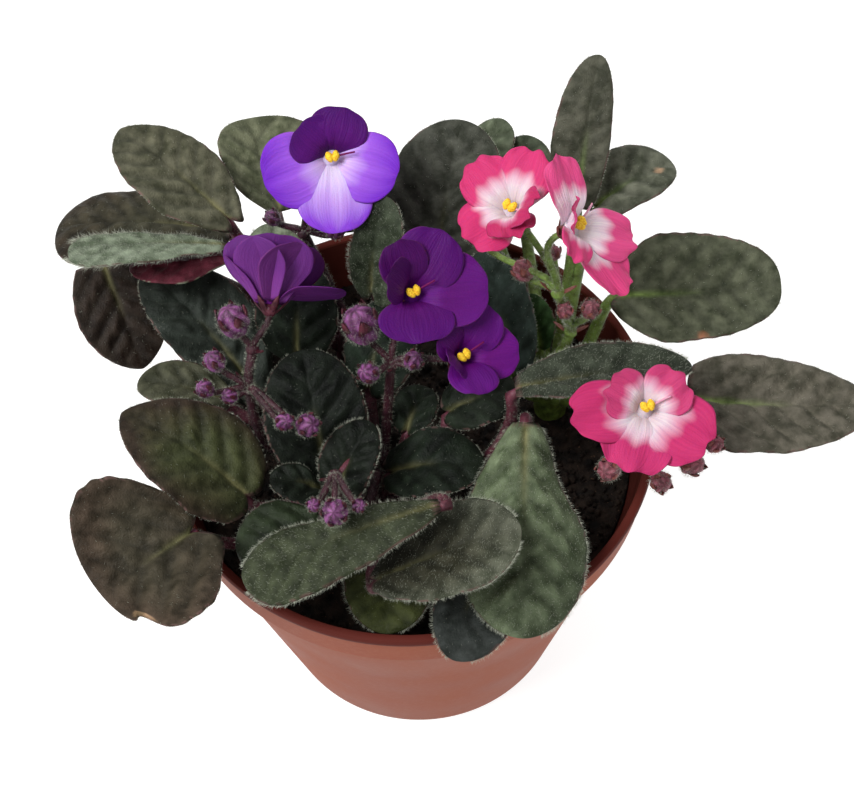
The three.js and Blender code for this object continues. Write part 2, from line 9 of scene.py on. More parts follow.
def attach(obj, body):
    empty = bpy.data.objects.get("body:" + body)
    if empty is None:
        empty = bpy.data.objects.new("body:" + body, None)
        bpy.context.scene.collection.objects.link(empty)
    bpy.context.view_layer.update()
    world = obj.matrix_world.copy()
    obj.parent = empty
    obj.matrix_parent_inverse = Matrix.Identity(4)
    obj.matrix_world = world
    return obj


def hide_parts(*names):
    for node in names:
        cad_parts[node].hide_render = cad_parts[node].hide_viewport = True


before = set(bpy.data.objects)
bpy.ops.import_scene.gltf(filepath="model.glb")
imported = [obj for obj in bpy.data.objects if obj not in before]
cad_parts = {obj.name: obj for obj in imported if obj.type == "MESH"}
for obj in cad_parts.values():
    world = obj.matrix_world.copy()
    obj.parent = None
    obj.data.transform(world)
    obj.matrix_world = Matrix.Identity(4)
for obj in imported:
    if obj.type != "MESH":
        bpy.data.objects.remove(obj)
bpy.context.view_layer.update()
print("frame loaded:", len(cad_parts), "nodes")

mm = 0.001
up = Vector((0, 0, 1))


def linear(hexColor):  # sRGB hex to the linear colour that nodes take
    channels = [int(hexColor[i : i + 2], 16) / 255 for i in (0, 2, 4)]
    return [c / 12.92 if c <= 0.04045 else ((c + 0.055) / 1.055) ** 2.4 for c in channels] + [1.0]


def addNode(tree, kind, settings=None, links=None, output=0):
    # settings and links go by name or socket number; gives back one output socket
    node = tree.nodes.new("ShaderNode" + kind)
    for name, value in (settings or {}).items():
        if isinstance(name, str) and hasattr(node, name):
            setattr(node, name, value)
        else:
            node.inputs[name].default_value = linear(value) if isinstance(value, str) else value
    for name, source in (links or {}).items():
        tree.links.new(source, node.inputs[name])
    return node.outputs[output]


def newMaterial(name, settings):  # settings are the Principled shader's own sockets
    material = bpy.data.materials.new(name)
    material.use_nodes = True
    shader = material.node_tree.nodes["Principled BSDF"]
    for socket, value in settings.items():
        shader.inputs[socket].default_value = linear(value) if isinstance(value, str) else value
    return material, material.node_tree


def connect(tree, links):  # into the Principled shader
    for socket, source in links.items():
        tree.links.new(source, tree.nodes["Principled BSDF"].inputs[socket])


def speckle(tree, place, scale, detail, low, high):  # noise with its contrast stretched to 0..1
    grain = addNode(tree, "TexNoise", {"Scale": scale, "Detail": detail}, {"Vector": place})
    return addNode(tree, "MapRange", {"From Min": low, "From Max": high}, {"Value": grain})


inColor = {"data_type": "RGBA"}


def makePlantTissue(name, settings, patch, pucker, lightShare, darkShare):
    # living skin: the piece's own colour in soft patches, puckered between the finest veins
    material, tree = newMaterial(name, settings)
    own = addNode(tree, "Attribute", {"attribute_name": "skinColor"})
    place = addNode(tree, "TexCoord", output="Object")
    patches = speckle(tree, place, 1 / (patch * mm), 3, 0.35, 0.65)
    dark = addNode(tree, "Mix", {**inColor, "blend_type": "MULTIPLY", 0: 1.0, 7: darkShare}, {6: own}, 2)
    light = addNode(tree, "Mix", {**inColor, "blend_type": "SCREEN", 0: 1.0, 7: lightShare}, {6: own}, 2)
    color = addNode(tree, "Mix", inColor, {0: patches, 6: dark, 7: light}, 2)
    fine = addNode(tree, "TexNoise", {"Scale": 1 / (0.5 * mm), "Detail": 3}, {"Vector": place})
    cellSettings = {"feature": "SMOOTH_F1", "Scale": 1 / (pucker * mm)}
    cells = addNode(tree, "TexVoronoi", cellSettings, {"Vector": place})
    domes = addNode(tree, "Math", {"operation": "MULTIPLY", 1: -0.8}, {0: cells})
    height = addNode(tree, "Math", {"operation": "ADD"}, {0: domes, 1: fine})
    relief = addNode(tree, "Bump", {"Distance": 0.3 * mm}, {"Height": height})
    connect(tree, {"Base Color": color, "Normal": relief})
    return material


# African violet leaf: soft, matt and velvety under a coat of tiny hairs, puckered, with a faint bloom
softCoat = {"Sheen Weight": 0.03, "Sheen Roughness": 0.5, "Sheen Tint": "dfe6d2"}
velvetLeaf = makePlantTissue(
    "velvet leaf skin",
    {"Roughness": 0.5, "Specular IOR Level": 0.12, **softCoat},
    patch=4.2, pucker=1.9, lightShare="141712", darkShare="a6aca2",
)
# hairy fleshy stem: a little more gloss than the leaf, since the skin is smooth under its hairs
fleshyStem = makePlantTissue(
    "fleshy stem skin",
    {"Roughness": 0.45, "Specular IOR Level": 0.35, "Subsurface Weight": 0.1, "Subsurface Scale": 0.0015},
    patch=2.5, pucker=1.2, lightShare="140c0e", darkShare="a89ea0",
)


def makePetalSkin():  # thin satin petal: fine veins run from the throat to the rim, cells glitter a little
    material, tree = newMaterial(
        "satin petal skin",
        {"Roughness": 0.5, "Specular IOR Level": 0.1, "Subsurface Weight": 0.1, "Subsurface Scale": 0.001},
    )
    own = addNode(tree, "Attribute", {"attribute_name": "skinColor"})
    petalMap = addNode(tree, "UVMap", {"uv_map": "petal"})
    stretched = addNode(tree, "Mapping", {"Scale": (16.0, 1.2, 1.0)}, {"Vector": petalMap})
    veins = speckle(tree, stretched, 1.0, 3, 0.38, 0.62)
    dark = addNode(tree, "Mix", {**inColor, "blend_type": "MULTIPLY", 0: 1.0, 7: "f2ecf5"}, {6: own}, 2)
    color = addNode(tree, "Mix", inColor, {0: veins, 6: dark, 7: own}, 2)
    place = addNode(tree, "TexCoord", output="Object")
    cells = addNode(tree, "TexNoise", {"Scale": 1 / (0.5 * mm), "Detail": 2}, {"Vector": place})
    ribs = addNode(tree, "Math", {"operation": "MULTIPLY", 1: 0.5}, {0: veins})
    height = addNode(tree, "Math", {"operation": "ADD"}, {0: cells, 1: ribs})
    relief = addNode(tree, "Bump", {"Distance": 0.12 * mm}, {"Height": height})
    connect(tree, {"Base Color": color, "Normal": relief})
    return material


petalSkin = makePetalSkin()
# plant hair: clear and colourless, so it shows as a pale fringe against dark skin
hairSettings = {"Roughness": 0.4, "Base Color": "b8bcab", "Specular IOR Level": 0.3}
plantHair = newMaterial("glassy plant hair", hairSettings)[0]


def makePollen():  # ripe anther: matt yellow, grainy with pollen 0.5 mm across here
    material, tree = newMaterial("ripe pollen sac", {"Roughness": 0.7})
    place = addNode(tree, "TexCoord", output="Object")
    grains = speckle(tree, place, 1 / (0.5 * mm), 2, 0.3, 0.7)
    color = addNode(tree, "Mix", {**inColor, 6: "e0a008", 7: "ffdc32"}, {0: grains}, 2)
    relief = addNode(tree, "Bump", {"Distance": 0.15 * mm}, {"Height": grains})
    connect(tree, {"Base Color": color, "Normal": relief})
    return material


pollen = makePollen()


def makePotPlastic():
    # injection-moulded polypropylene in terracotta: satin, rubbed paler by dust, with painted shade on the
    # rim and the inside
    material, tree = newMaterial("moulded terracotta polypropylene", {"Specular IOR Level": 0.03})
    place = addNode(tree, "TexCoord", output="Object")
    clouds = speckle(tree, place, 1 / (22 * mm), 4, 0.3, 0.7)
    dust = speckle(tree, place, 1 / (1.5 * mm), 5, 0.45, 0.75)
    wall = addNode(tree, "Mix", {**inColor, 6: "8a4c3a", 7: "945541"}, {0: clouds}, 2)
    dusty = addNode(tree, "Math", {"operation": "MULTIPLY", 1: 0.12}, {0: dust})
    color = addNode(tree, "Mix", {**inColor, 7: "a87c6c"}, {0: dusty, 6: wall}, 2)
    # painted shade: the rim and the inside wall are darkened as if in shadow
    for attribute, shade in (("rimShadeShare", "562620"), ("insideShadeShare", "4e241e")):
        share = addNode(tree, "Attribute", {"attribute_name": attribute}, output="Fac")
        color = addNode(tree, "Mix", {**inColor, 7: shade}, {0: share, 6: color}, 2)
    rough = addNode(tree, "MapRange", {"To Min": 0.42, "To Max": 0.58}, {"Value": clouds})
    texture = addNode(tree, "TexNoise", {"Scale": 1 / (0.8 * mm), "Detail": 3}, {"Vector": place})
    relief = addNode(tree, "Bump", {"Distance": 0.05 * mm}, {"Height": texture})
    connect(tree, {"Base Color": color, "Roughness": rough, "Normal": relief})
    return material


def makePeat():  # damp peat: black-brown, crumbly, with a few paler fibres
    material, tree = newMaterial("damp peat", {"Roughness": 0.9, "Specular IOR Level": 0.25})
    place = addNode(tree, "TexCoord", output="Object")
    lumps = speckle(tree, place, 1 / (4 * mm), 6, 0.35, 0.65)
    color = addNode(tree, "Mix", {**inColor, 6: "0d0a08", 7: "2b211a"}, {0: lumps}, 2)
    flecks = speckle(tree, place, 1 / (1.1 * mm), 2, 0.68, 0.74)
    color = addNode(tree, "Mix", {**inColor, 7: "5a4636"}, {0: flecks, 6: color}, 2)
    relief = addNode(tree, "Bump", {"Distance": 0.8 * mm}, {"Height": lumps})
    connect(tree, {"Base Color": color, "Normal": relief})
    return material


potPlastic = makePotPlastic()
peat = makePeat()


def addObject(name, data):
    made = bpy.data.objects.new(name, data)
    bpy.context.scene.collection.objects.link(made)
    return made


def finishPiece(name, mesh, material, nodes):
    piece = addObject(name, mesh)
    mesh.materials.append(material)
    mesh.polygons.foreach_set("use_smooth", [True] * len(mesh.polygons))
    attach(piece, "root")
    if nodes:
        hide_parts(*nodes)


def toMesh(name, bm, closed=True):
    if closed:
        bmesh.ops.recalc_face_normals(bm, faces=bm.faces)
    mesh = bpy.data.meshes.new(name)
    bm.to_mesh(mesh)
    bm.free()
    return mesh


def readPoints(mesh):
    points = np.empty(len(mesh.vertices) * 3)
    mesh.vertices.foreach_get("co", points)
    return points.reshape(-1, 3)


def rgb(hexColor):
    return np.array(linear(hexColor)[:3])


def clamp(values):
    return np.clip(values, 0, 1)


def blend(first, second, share):  # colours by row, or one colour for all; share by row
    share = clamp(share)[:, None]
    return first * (1 - share) + second * share


def unit(rows):
    return rows / np.maximum(np.linalg.norm(rows, axis=1, keepdims=True), 1e-9)


def ripple(a, b, seed, count=4):  # smooth seeded waves, about -1..1
    draw = np.random.default_rng(seed)
    total = np.zeros_like(a)
    for _ in range(count):
        kx, ky, shift = draw.uniform(-1, 1), draw.uniform(-1, 1), draw.uniform(0, 2 * math.pi)
        total += np.sin(kx * a + ky * b + shift)
    return total / count


# camera: looks down at the plant from in front; mm and degrees
view = {
    "place": (0, -246.4, 492.3), "tilt": 56.637, "turn": 1.215, "roll": -2.779, "lens": 67.45, "sensor": 36,
    "clipStart": 10,
}


def makeCamera():
    camera = addObject("camera", bpy.data.cameras.new("camera"))
    tilt, turn, roll = (math.radians(view[k]) for k in ("tilt", "turn", "roll"))
    ahead = Vector((math.sin(turn) * math.cos(tilt), math.cos(turn) * math.cos(tilt), -math.sin(tilt)))
    right = ahead.cross(up).normalized()
    above = right.cross(ahead)
    right, above = (
        right * math.cos(roll) + above * math.sin(roll),
        above * math.cos(roll) - right * math.sin(roll),
    )
    aim = Matrix((right, above, -ahead)).transposed().to_4x4()
    camera.matrix_world = Matrix.Translation(Vector(view["place"]) * mm) @ aim
    camera.data.lens = view["lens"]
    camera.data.sensor_width = view["sensor"]
    camera.data.clip_start = view["clipStart"] * mm
    bpy.context.scene.camera = camera


studio = {
    "floorColor": "a0a09e", "floorGlow": 0.85, "floorReach": 30.0, "skyStrength": 0.33, "aim": (0, 0, 0.1),
    "lights": [  # name, place in m, size in m, watts
        ("key light", (-0.5, -0.25, 0.95), 0.5, 11),
        ("fill light", (0.8, -0.5, 0.7), 0.9, 1.8),
        ("back light", (0.1, 0.9, 0.8), 0.9, 4.0),
    ],
}


def makeStudio():
    bm = bmesh.new()
    bmesh.ops.create_grid(bm, x_segments=1, y_segments=1, size=studio["floorReach"])
    floor = addObject("floor", toMesh("floor", bm, closed=False))
    # white light table: glows, so it stays white and casts hardly any shadow
    settings = {"Base Color": studio["floorColor"], "Roughness": 0.9, "Emission Color": "ffffff"}
    material = newMaterial("glowing white floor", {**settings, "Emission Strength": studio["floorGlow"]})[0]
    floor.data.materials.append(material)
    world = bpy.data.worlds.new("soft sky")
    world.use_nodes = True
    sky = world.node_tree.nodes["Background"].inputs
    sky[0].default_value = linear("ffffff")
    sky[1].default_value = studio["skyStrength"]
    bpy.context.scene.world = world
    for name, place, size, watts in studio["lights"]:
        lamp = bpy.data.lights.new(name, "AREA")
        lamp.size = size
        lamp.energy = watts
        aim = Vector(studio["aim"]) - Vector(place)
        turn = aim.to_track_quat("-Z", "Y").to_matrix().to_4x4()
        addObject(name, lamp).matrix_world = Matrix.Translation(place) @ turn
    bpy.context.scene.view_settings.view_transform = "Standard"


makeCamera()
makeStudio()
print("camera and studio")

pot = {  # mm
    "rimRadius": 70.0, "height": 110.0, "footRadius": 47.0, "wall": 1.8, "taperStep": 3.6,
    "collarHeight": 15.0, "lipWidth": 2.6, "lipHeight": 3.6, "bossRadius": 12.0, "footRingWidth": 7.0,
    "footRise": 3.0, "segments": 144, "drainCount": 6, "drainRing": 27.0, "drainRadius": 4.0,
    "notchCount": 4, "notchWidth": 7.0, "sharpAngle": 40,
}


def potTaper(z):
    bodyTop = pot["rimRadius"] - pot["taperStep"]
    return pot["footRadius"] + (bodyTop - pot["footRadius"]) * z / (pot["height"] - pot["collarHeight"])


def potInside(z):
    return potTaper(z) - pot["wall"]


def spinProfile(profile, segments):  # profile in mm, (radius, height) from axis to axis
    bm = bmesh.new()
    verts = [bm.verts.new((r * mm, 0, z * mm)) for r, z in profile]
    spun = verts + [bm.edges.new(pair) for pair in zip(verts, verts[1:])]
    whole = {"angle": 2 * math.pi, "steps": segments, "use_merge": True}
    bmesh.ops.spin(bm, geom=spun, cent=(0, 0, 0), axis=(0, 0, 1), **whole)
    bmesh.ops.remove_doubles(bm, verts=bm.verts, dist=1e-6)
    bmesh.ops.recalc_face_normals(bm, faces=bm.faces)
    return bm


def potProfile(floor):
    rim, height, collar = pot["rimRadius"], pot["height"], pot["height"] - pot["collarHeight"]
    boss, foot, rise = pot["bossRadius"], pot["footRadius"], pot["footRise"]
    ring, lip = foot - pot["footRingWidth"], rim - pot["lipWidth"]
    under = [(0, 0), (boss - 0.4, 0), (boss, 0.3), (boss + 2, rise), (ring - 2, rise), (ring, 0.4)]
    footRing = [(ring + 0.5, 0), (foot - 1.4, 0), (foot - 0.3, 0.5), (potTaper(1.8), 1.8)]
    body = [(potTaper(z), z) for z in (collar * 0.33, collar * 0.66, collar - 0.6)]
    step = [(potTaper(collar) + 0.4, collar), (rim - 2.1, collar + 0.1), (rim - 1.6, collar + 0.5)]
    band = [(rim - 1.5, collar + 1.2), (rim - 0.9, height - 4.2), (rim - 0.8, height - 3.4)]
    lipOut = [(rim - 0.25, height - 2.8), (rim, height - 2.0), (rim, height - 1.0), (rim - 0.3, height - 0.3)]
    lipTop = [(rim - 0.9, height), (lip + 0.7, height), (lip + 0.2, height - 0.3), (lip, height - 1.0)]
    mouth = potInside(collar)
    collarIn = [(mouth + 1.6, collar + 2.5), (mouth + 0.9, collar + 0.6), (mouth, collar - 1.0)]
    wallIn = [(potInside(collar * 0.5), collar * 0.5), (potInside(floor + 2), floor + 2)]
    corner = potInside(floor)
    return under + footRing + body + step + band + lipOut + lipTop + collarIn + wallIn + [
        (corner - 1.2, floor + 0.2), (corner - 2.5, floor), (0, floor)
    ]


def makePot():
    floor = pot["footRise"] + pot["wall"]
    body = addObject("pot_shell", toMesh("pot_shell", spinProfile(potProfile(floor), pot["segments"])))
    cuts = bmesh.new()
    radius = pot["drainRadius"] * mm
    for i in range(pot["drainCount"]):
        made = bmesh.ops.create_cone(
            cuts, cap_ends=True, segments=28, radius1=radius, radius2=radius, depth=30 * mm
        )
        turn = Matrix.Rotation(2 * math.pi * i / pot["drainCount"], 4, "Z")
        place = turn @ Matrix.Translation((pot["drainRing"] * mm, 0, 0))
        bmesh.ops.transform(cuts, matrix=place, verts=made["verts"])
    for i in range(pot["notchCount"]):
        made = bmesh.ops.create_cube(cuts, size=1.0)
        size = Matrix.Diagonal(
            ((pot["footRingWidth"] + 6) * mm, pot["notchWidth"] * mm, pot["footRise"] * mm, 1)
        )
        turn = Matrix.Rotation(2 * math.pi * (i + 0.5) / pot["notchCount"], 4, "Z")
        outward = Matrix.Translation(((pot["footRadius"] - pot["footRingWidth"] / 2) * mm, 0, 0))
        bmesh.ops.transform(cuts, matrix=turn @ outward @ size, verts=made["verts"])
    cutter = addObject("pot_cuts", toMesh("pot_cuts", cuts))
    cut = body.modifiers.new("drain holes", "BOOLEAN")
    cut.operation = "DIFFERENCE"
    cut.solver = "EXACT"
    cut.object = cutter
    graph = bpy.context.evaluated_depsgraph_get()
    mesh = bpy.data.meshes.new_from_object(body.evaluated_get(graph))
    bpy.data.objects.remove(body)
    bpy.data.objects.remove(cutter)
    x, y, z = readPoints(mesh).T / mm
    collar = z > pot["height"] - pot["collarHeight"]
    wallMiddle = np.where(collar, pot["rimRadius"] - 2.2, potTaper(z) - pot["wall"] / 2)
    inside = (np.hypot(x, y) < wallMiddle) & (z > floor - 0.5) & (z < pot["height"] - 0.6)
    inside = inside.astype(float)
    lip = clamp((z - (pot["height"] - pot["lipHeight"])) / 0.8)
    # masks of the painted shade: the inside wall, and the rim outside it
    for name, share in (("insideShadeShare", inside), ("rimShadeShare", lip * (1 - inside))):
        mesh.attributes.new(name, "FLOAT", "POINT").data.foreach_set("value", share)
    finishPiece("terracotta_pot", mesh, potPlastic, ["pot"])
    mesh.set_sharp_from_angle(angle=math.radians(pot["sharpAngle"]))


makePot()
print("pot")


def fillMesh(name, points, triangles):  # points in mm
    mesh = bpy.data.meshes.new(name)
    mesh.vertices.add(len(points))
    mesh.vertices.foreach_set("co", (points * mm).ravel())
    mesh.loops.add(triangles.size)
    mesh.loops.foreach_set("vertex_index", triangles.ravel())
    mesh.polygons.add(len(triangles))
    mesh.polygons.foreach_set("loop_start", np.arange(0, triangles.size, 3))
    mesh.update(calc_edges=True)
    return mesh


def readTemplate(bm):  # one small shape, as points and triangles
    bmesh.ops.triangulate(bm, faces=bm.faces)
    bm.verts.ensure_lookup_table()
    points = np.array([v.co for v in bm.verts])
    triangles = np.array([[v.index for v in f.verts] for f in bm.faces])
    bm.free()
    return points, triangles


def scatter(name, template, origins, axes):  # axes: for each copy, where its x, y and z point, mm
    points, triangles = template
    placed = origins[:, None, :] + np.einsum("vk,nkj->nvj", points, axes)
    shifted = triangles[None] + (np.arange(len(origins)) * len(points))[:, None, None]
    return fillMesh(name, placed.reshape(-1, 3), shifted.reshape(-1, 3))


hairs = {}  # plant name: list of (roots, directions, lengths, widths)
hairRadius = 0.032


def addHairs(plant, roots, directions, lengths, width=hairRadius):
    hairs.setdefault(plant, []).append((roots, unit(directions), lengths, np.full(len(roots), width)))


soil = {
    "level": 92.0, "rings": 46, "segments": 120, "crumbs": 2600, "crumbSize": (0.4, 1.3), "bigShare": 0.1,
    "gap": 0.3, "seed": 5,
}
crowns = {"violet": (-10.0, -15.0), "blue": (-16.0, 34.0), "pink": (42.0, 12.0)}


def soilHeight(x, y):
    coarse = noise.fractal(Vector((x / 14, y / 14, 3.1)), 1.0, 2.0, 4)
    fine = noise.fractal(Vector((x / 3.5, y / 3.5, 8.4)), 0.8, 2.0, 3)
    return soil["level"] + 1.3 * coarse + 0.8 * fine


def makeSoil():
    floor = pot["footRise"] + pot["wall"] + soil["gap"]
    edge = potInside(soil["level"]) - soil["gap"]
    top = [(edge * i / soil["rings"], soil["level"]) for i in range(soil["rings"] + 1)]
    bm = spinProfile([(0, floor), (potInside(floor) - 1.6, floor)] + top[::-1], soil["segments"])
    for vert in bm.verts:
        if vert.co.z > (soil["level"] - 1) * mm:
            vert.co.z = soilHeight(vert.co.x / mm, vert.co.y / mm) * mm
    finishPiece("peat_bed", toMesh("peat_bed", bm), peat, ["soil"])
    draw = np.random.default_rng(soil["seed"])
    count = soil["crumbs"]
    radius = edge * np.sqrt(draw.uniform(0, 0.985, count))
    turn = draw.uniform(0, 2 * math.pi, count)
    x, y = radius * np.cos(turn), radius * np.sin(turn)
    z = np.array([soilHeight(a, b) for a, b in zip(x, y)])
    size = draw.uniform(*soil["crumbSize"], count)
    size = size * np.where(draw.uniform(size=count) > 1 - soil["bigShare"], 1.7, 1.0)
    axes = np.linalg.qr(draw.normal(size=(count, 3, 3)))[0]
    axes *= np.sign(np.linalg.det(axes))[:, None, None]
    axes *= (size[:, None] * draw.uniform(0.5, 1.2, (count, 3)))[:, :, None]
    bm = bmesh.new()
    bmesh.ops.create_icosphere(bm, subdivisions=1, radius=1.0)
    crumbs = scatter("peat_crumbs", readTemplate(bm), np.c_[x, y, z + size * 0.3], axes)
    finishPiece("peat_crumbs", crumbs, peat, [])


makeSoil()
print("soil")

# neck: where the petiole meets the blade; tip: its far end; width across; mm
# roll: degrees the face leans to the right, seen from the neck. arch and cup: how far the midrib bows up and
# the edges stand up, as shares of length and half width. ridge: how steeply both halves fall from the midrib
# heel: width at the base as a share. widest: where along. point: how blunt the tip is. lop: how much wider
# the right half is. lobe: how far the base runs back. bend, neckBend: shift of the petiole, mm
# notch: where along, which side, depth as a share of the half width, and length as a share
# rolled: what changes for a half that is turned under
# top, under: colours of the two faces. edge: colour of the outer part. vein: brightness of the side veins
# vein below 1 is a painted shade in the side veins, above 1 a painted highlight along them
# shade: painted light and shade, how much brighter towards the tip and the right edge. scar: where along and
# across, mm, colour
# quilt: height of the cushions between the side veins, mm
# fur: hairs on each square mm. fringe: length of the hairs along the edge, mm
leafHabit = {
    "roll": 0, "arch": 0.1, "cup": 0.15, "ridge": 0, "heel": 0.6, "widest": 0.45, "point": 0.5, "lop": 0,
    "lobe": 0.1, "bend": (0, 0, 0), "neckBend": (0, 0, 0), "notch": None, "rolled": None, "top": "464b3e",
    "under": "7a5a58", "edge": None, "vein": 0.72, "shade": (0, 0), "scar": None, "quilt": 0.5,
    "fur": 0.12, "fringe": 0.7,
}
leaves = {
    "back_left": dict(
        crown="blue", neck=(-48, 50, 143), tip=(-78, 79, 152), width=26, arch=0.04, cup=0.3, heel=0.45,
        widest=0.37, point=0.65, lop=-0.15,
        top="5c5a48", quilt=0.5,
    ),
    "back_mid": dict(
        crown="blue", neck=(-34, 60, 132), tip=(-42, 86, 145), width=31, roll=15, arch=0.04, cup=0.3,
        heel=0.2, widest=0.55, lobe=0, point=0.43, lop=0.1,
        top="70735a", quilt=0.5,
    ),
    "far_left": dict(
        crown="blue", neck=(-50, 64, 119), tip=(-103, 72, 119), width=33, roll=8, arch=0.06, cup=0,
        heel=0.55, widest=0.7, lobe=0, lop=-0.15, bend=(0, 0, 8),
        top="413e2f", edge="35291f",
    ),
    "silver": dict(
        crown="blue", neck=(-48, 40, 143), tip=(-92, 41, 145), width=18, roll=20, arch=0.02, cup=0.05,
        heel=0.2, widest=0.8, lobe=0, lop=-0.35, bend=(0, -2, 4),
        top="7f8a75", under="5d2030", fur=2.5, fringe=2.2, quilt=0.15,
        rolled=dict(
            neck=(-48, 37, 140), tip=(-76, 38, 138), width=16, roll=196, quilt=0.1, lop=0, widest=0.5,
        ),
    ),
    "left_down": dict(
        crown="blue", neck=(-87, 51, 126), tip=(-77, 25, 107), width=26, lobe=0, point=0.7,
        bend=(-3, -4, 15),
        top="2c201b", quilt=0.5,
    ),
    "left_inner": dict(
        crown="violet", neck=(-45, 14, 110), tip=(-72, 42, 132), width=27, lop=0.1,
        top="2e342f", shade=(-0.2, 0), quilt=0.7, vein=1.5,
    ),
    "left_small": dict(crown="violet", neck=(-52, 4, 119), tip=(-75, 9, 124), width=16, top="4d4d3c"),
    "front_left_big": dict(
        crown="violet", neck=(-45, -29, 121), tip=(-76, -9, 137), width=31, roll=4, cup=0.2, heel=0.65,
        widest=0.3, lobe=0.06, point=0.7, lop=-0.05,
        top="3c4024", quilt=0.55, edge="35261c",
    ),
    "front_left_low": dict(
        crown="violet", neck=(-59, -43, 128), tip=(-81, -60, 131), width=47, roll=-7, arch=-0.02,
        cup=0.4, heel=0.6, widest=0.52, lobe=0.2, point=0.43, bend=(4, 2, -20),
        top="40392d", quilt=0.6, edge="4a3b30", notch=(0.86, -1, 0.3, 0.06), scar=(0.86, -0.9, 1.6, "a08064"),
    ),
    "front_long": dict(
        crown="violet", neck=(6, -49, 145), tip=(-46, -56, 127), width=20, roll=-6, arch=0.04, cup=0.05,
        heel=0.2, widest=0.75, lobe=0, lop=-0.25, point=0.6, bend=(-4, -5, -1), neckBend=(-6, 12, 2),
        top="3a402c", shade=(0.2, -0.1), fur=1.6, fringe=1.2, notch=(0.52, 1, 0.16, 0.12),
    ),
    "front_left_back": dict(
        crown="violet", neck=(-27, -38, 118), tip=(-48, -44, 119), width=24, lop=-0.2,
        top="26301d",
    ),
    "front_cup": dict(
        crown="violet", neck=(-11, -58, 124), tip=(26, -53, 138), width=30, roll=-9, arch=0.03, cup=0.2,
        heel=0.3, widest=0.63, lobe=0.05, lop=0.15, point=0.6,
        top="302e22", fur=1.6, fringe=1.3, quilt=0.4, edge="55574a", shade=(0.45, 0.3),
    ),
    "front_olive": dict(
        crown="violet", neck=(-7, -42, 104), tip=(-10, -65, 108), width=24,
        top="3f451f", fringe=1.2,
    ),
    "front_dark": dict(
        crown="violet", neck=(15, -51, 109), tip=(8, -76, 112), width=22, lop=-0.2,
        top="323635", fringe=1.2,
    ),
    "front_right": dict(
        crown="violet", neck=(30, -24, 141), tip=(25, -75, 119), width=33, arch=-0.02, cup=0.1,
        heel=0.2, widest=0.6, lobe=0, point=0.55, bend=(4, 0, -14),
        top="606b51", fur=1.8, fringe=1.2, quilt=0.8, notch=(0.25, -1, 0.3, 0.16), ridge=0.42,
        shade=(-0.15, 0.3),
    ),
    # the inner leaves from here to under_flower have nearly black tops: their own dark green with painted
    # shade of the rosette's deep centre
    "centre_front": dict(
        crown="violet", neck=(-6, -20, 113), tip=(19, -23, 120), width=22,
        top="0b160b", quilt=0.5,
    ),
    "round_inner": dict(
        crown="violet", neck=(-21, -29, 118), tip=(-11, -15, 132), width=16,
        top="050c05", fringe=1.0,
    ),
    "tiny_inner": dict(
        crown="violet", neck=(-26, -26, 117), tip=(-38, -26, 125), width=13, lop=-0.2,
        top="10180f",
    ),
    "mid_left": dict(
        crown="violet", neck=(-24, -19, 114), tip=(-28, 7, 136), width=28,
        top="080f09", quilt=0.7,
    ),
    "mid_back_left": dict(
        crown="violet", neck=(-31, 21, 115), tip=(-28, 37, 136), width=24,
        top="141c14",
    ),
    "mid_back": dict(
        crown="violet", neck=(-11, 7, 116), tip=(-3, 24, 134), width=21, lop=0.15,
        top="1e2a20",
    ),
    "centre_mid": dict(crown="violet", neck=(-1, -7, 114), tip=(5, 5, 118), width=13, top="131e12"),
    "under_flower": dict(
        crown="violet", neck=(11, -7, 122), tip=(30, -4, 127), width=20, bend=(2, -6, -4),
        top="141d12", quilt=0.5,
    ),
    "behind_flower": dict(
        crown="pink", neck=(30, 9, 113), tip=(25, 32, 143), width=22, lop=-0.2,
        top="384640",
    ),
    "up_fold": dict(
        crown="blue", neck=(-8, 24, 137), tip=(-3, 33, 166), width=18, cup=0.5, lop=0.3,
        top="3a4232", shade=(0, 0.35), fur=2.0, fringe=1.0,
    ),
    "back_big": dict(
        crown="blue", neck=(11, 40, 126), tip=(20, 65, 160), width=35,
        top="52534a", quilt=0.7, vein=1.35,
    ),
    "back_small_a": dict(
        crown="pink", neck=(25, 74, 130), tip=(34, 81, 142), width=16, lop=0.2,
        top="67705a",
    ),
    "back_small_b": dict(
        crown="pink", neck=(37, 68, 128), tip=(41, 76, 140), width=17, lop=0.15,
        top="525b48",
    ),
    "back_tall": dict(
        crown="pink", neck=(51, 44, 144), tip=(58, 69, 178), width=16, lobe=0, lop=-0.15,
        top="5c5b4e", vein=1.3,
    ),
    "back_right_small": dict(
        crown="pink", neck=(57, 46, 142), tip=(79, 54, 150), width=21, lop=-0.1,
        top="696b5c", scar=(0.8, 0.1, 1.2, "b9977a"),
    ),
    "right_upper": dict(
        crown="pink", neck=(61, 21, 133), tip=(105, 17, 137), width=32, roll=18, arch=-0.04, heel=0.45,
        widest=0.3, lobe=0.06, lop=-0.08, point=0.4,
        top="595c49", quilt=0.5, scar=(0.5, 0.93, 1.5, "95654a"),
    ),
    "fold": dict(
        crown="violet", neck=(28, -16, 145), tip=(74, -15, 149), width=19, roll=-14, arch=0.02, cup=0.3,
        heel=0.4, lobe=0, bend=(4, -4, -15), neckBend=(6, 6, 0),
        top="373d31", shade=(-0.1, -0.1), fur=2.2, fringe=1.0,
    ),
    "right_low": dict(
        crown="pink", neck=(77, -12, 128), tip=(126, -19, 129), width=33, arch=-0.04, cup=0.2, heel=0.7,
        widest=0.27, lobe=0.03, lop=0.1, point=0.75,
        top="6c665a", quilt=0.8, vein=1.3,
    ),
    "young": dict(crown="pink", neck=(39, 20, 112), tip=(37, 30, 124), width=10, cup=0.5, top="35552a"),
    "silver_small": dict(
        crown="blue", neck=(-34, 41, 119), tip=(-38, 50, 138), width=19,
        top="8c967e", fur=2.4, fringe=1.4,
    ),
}
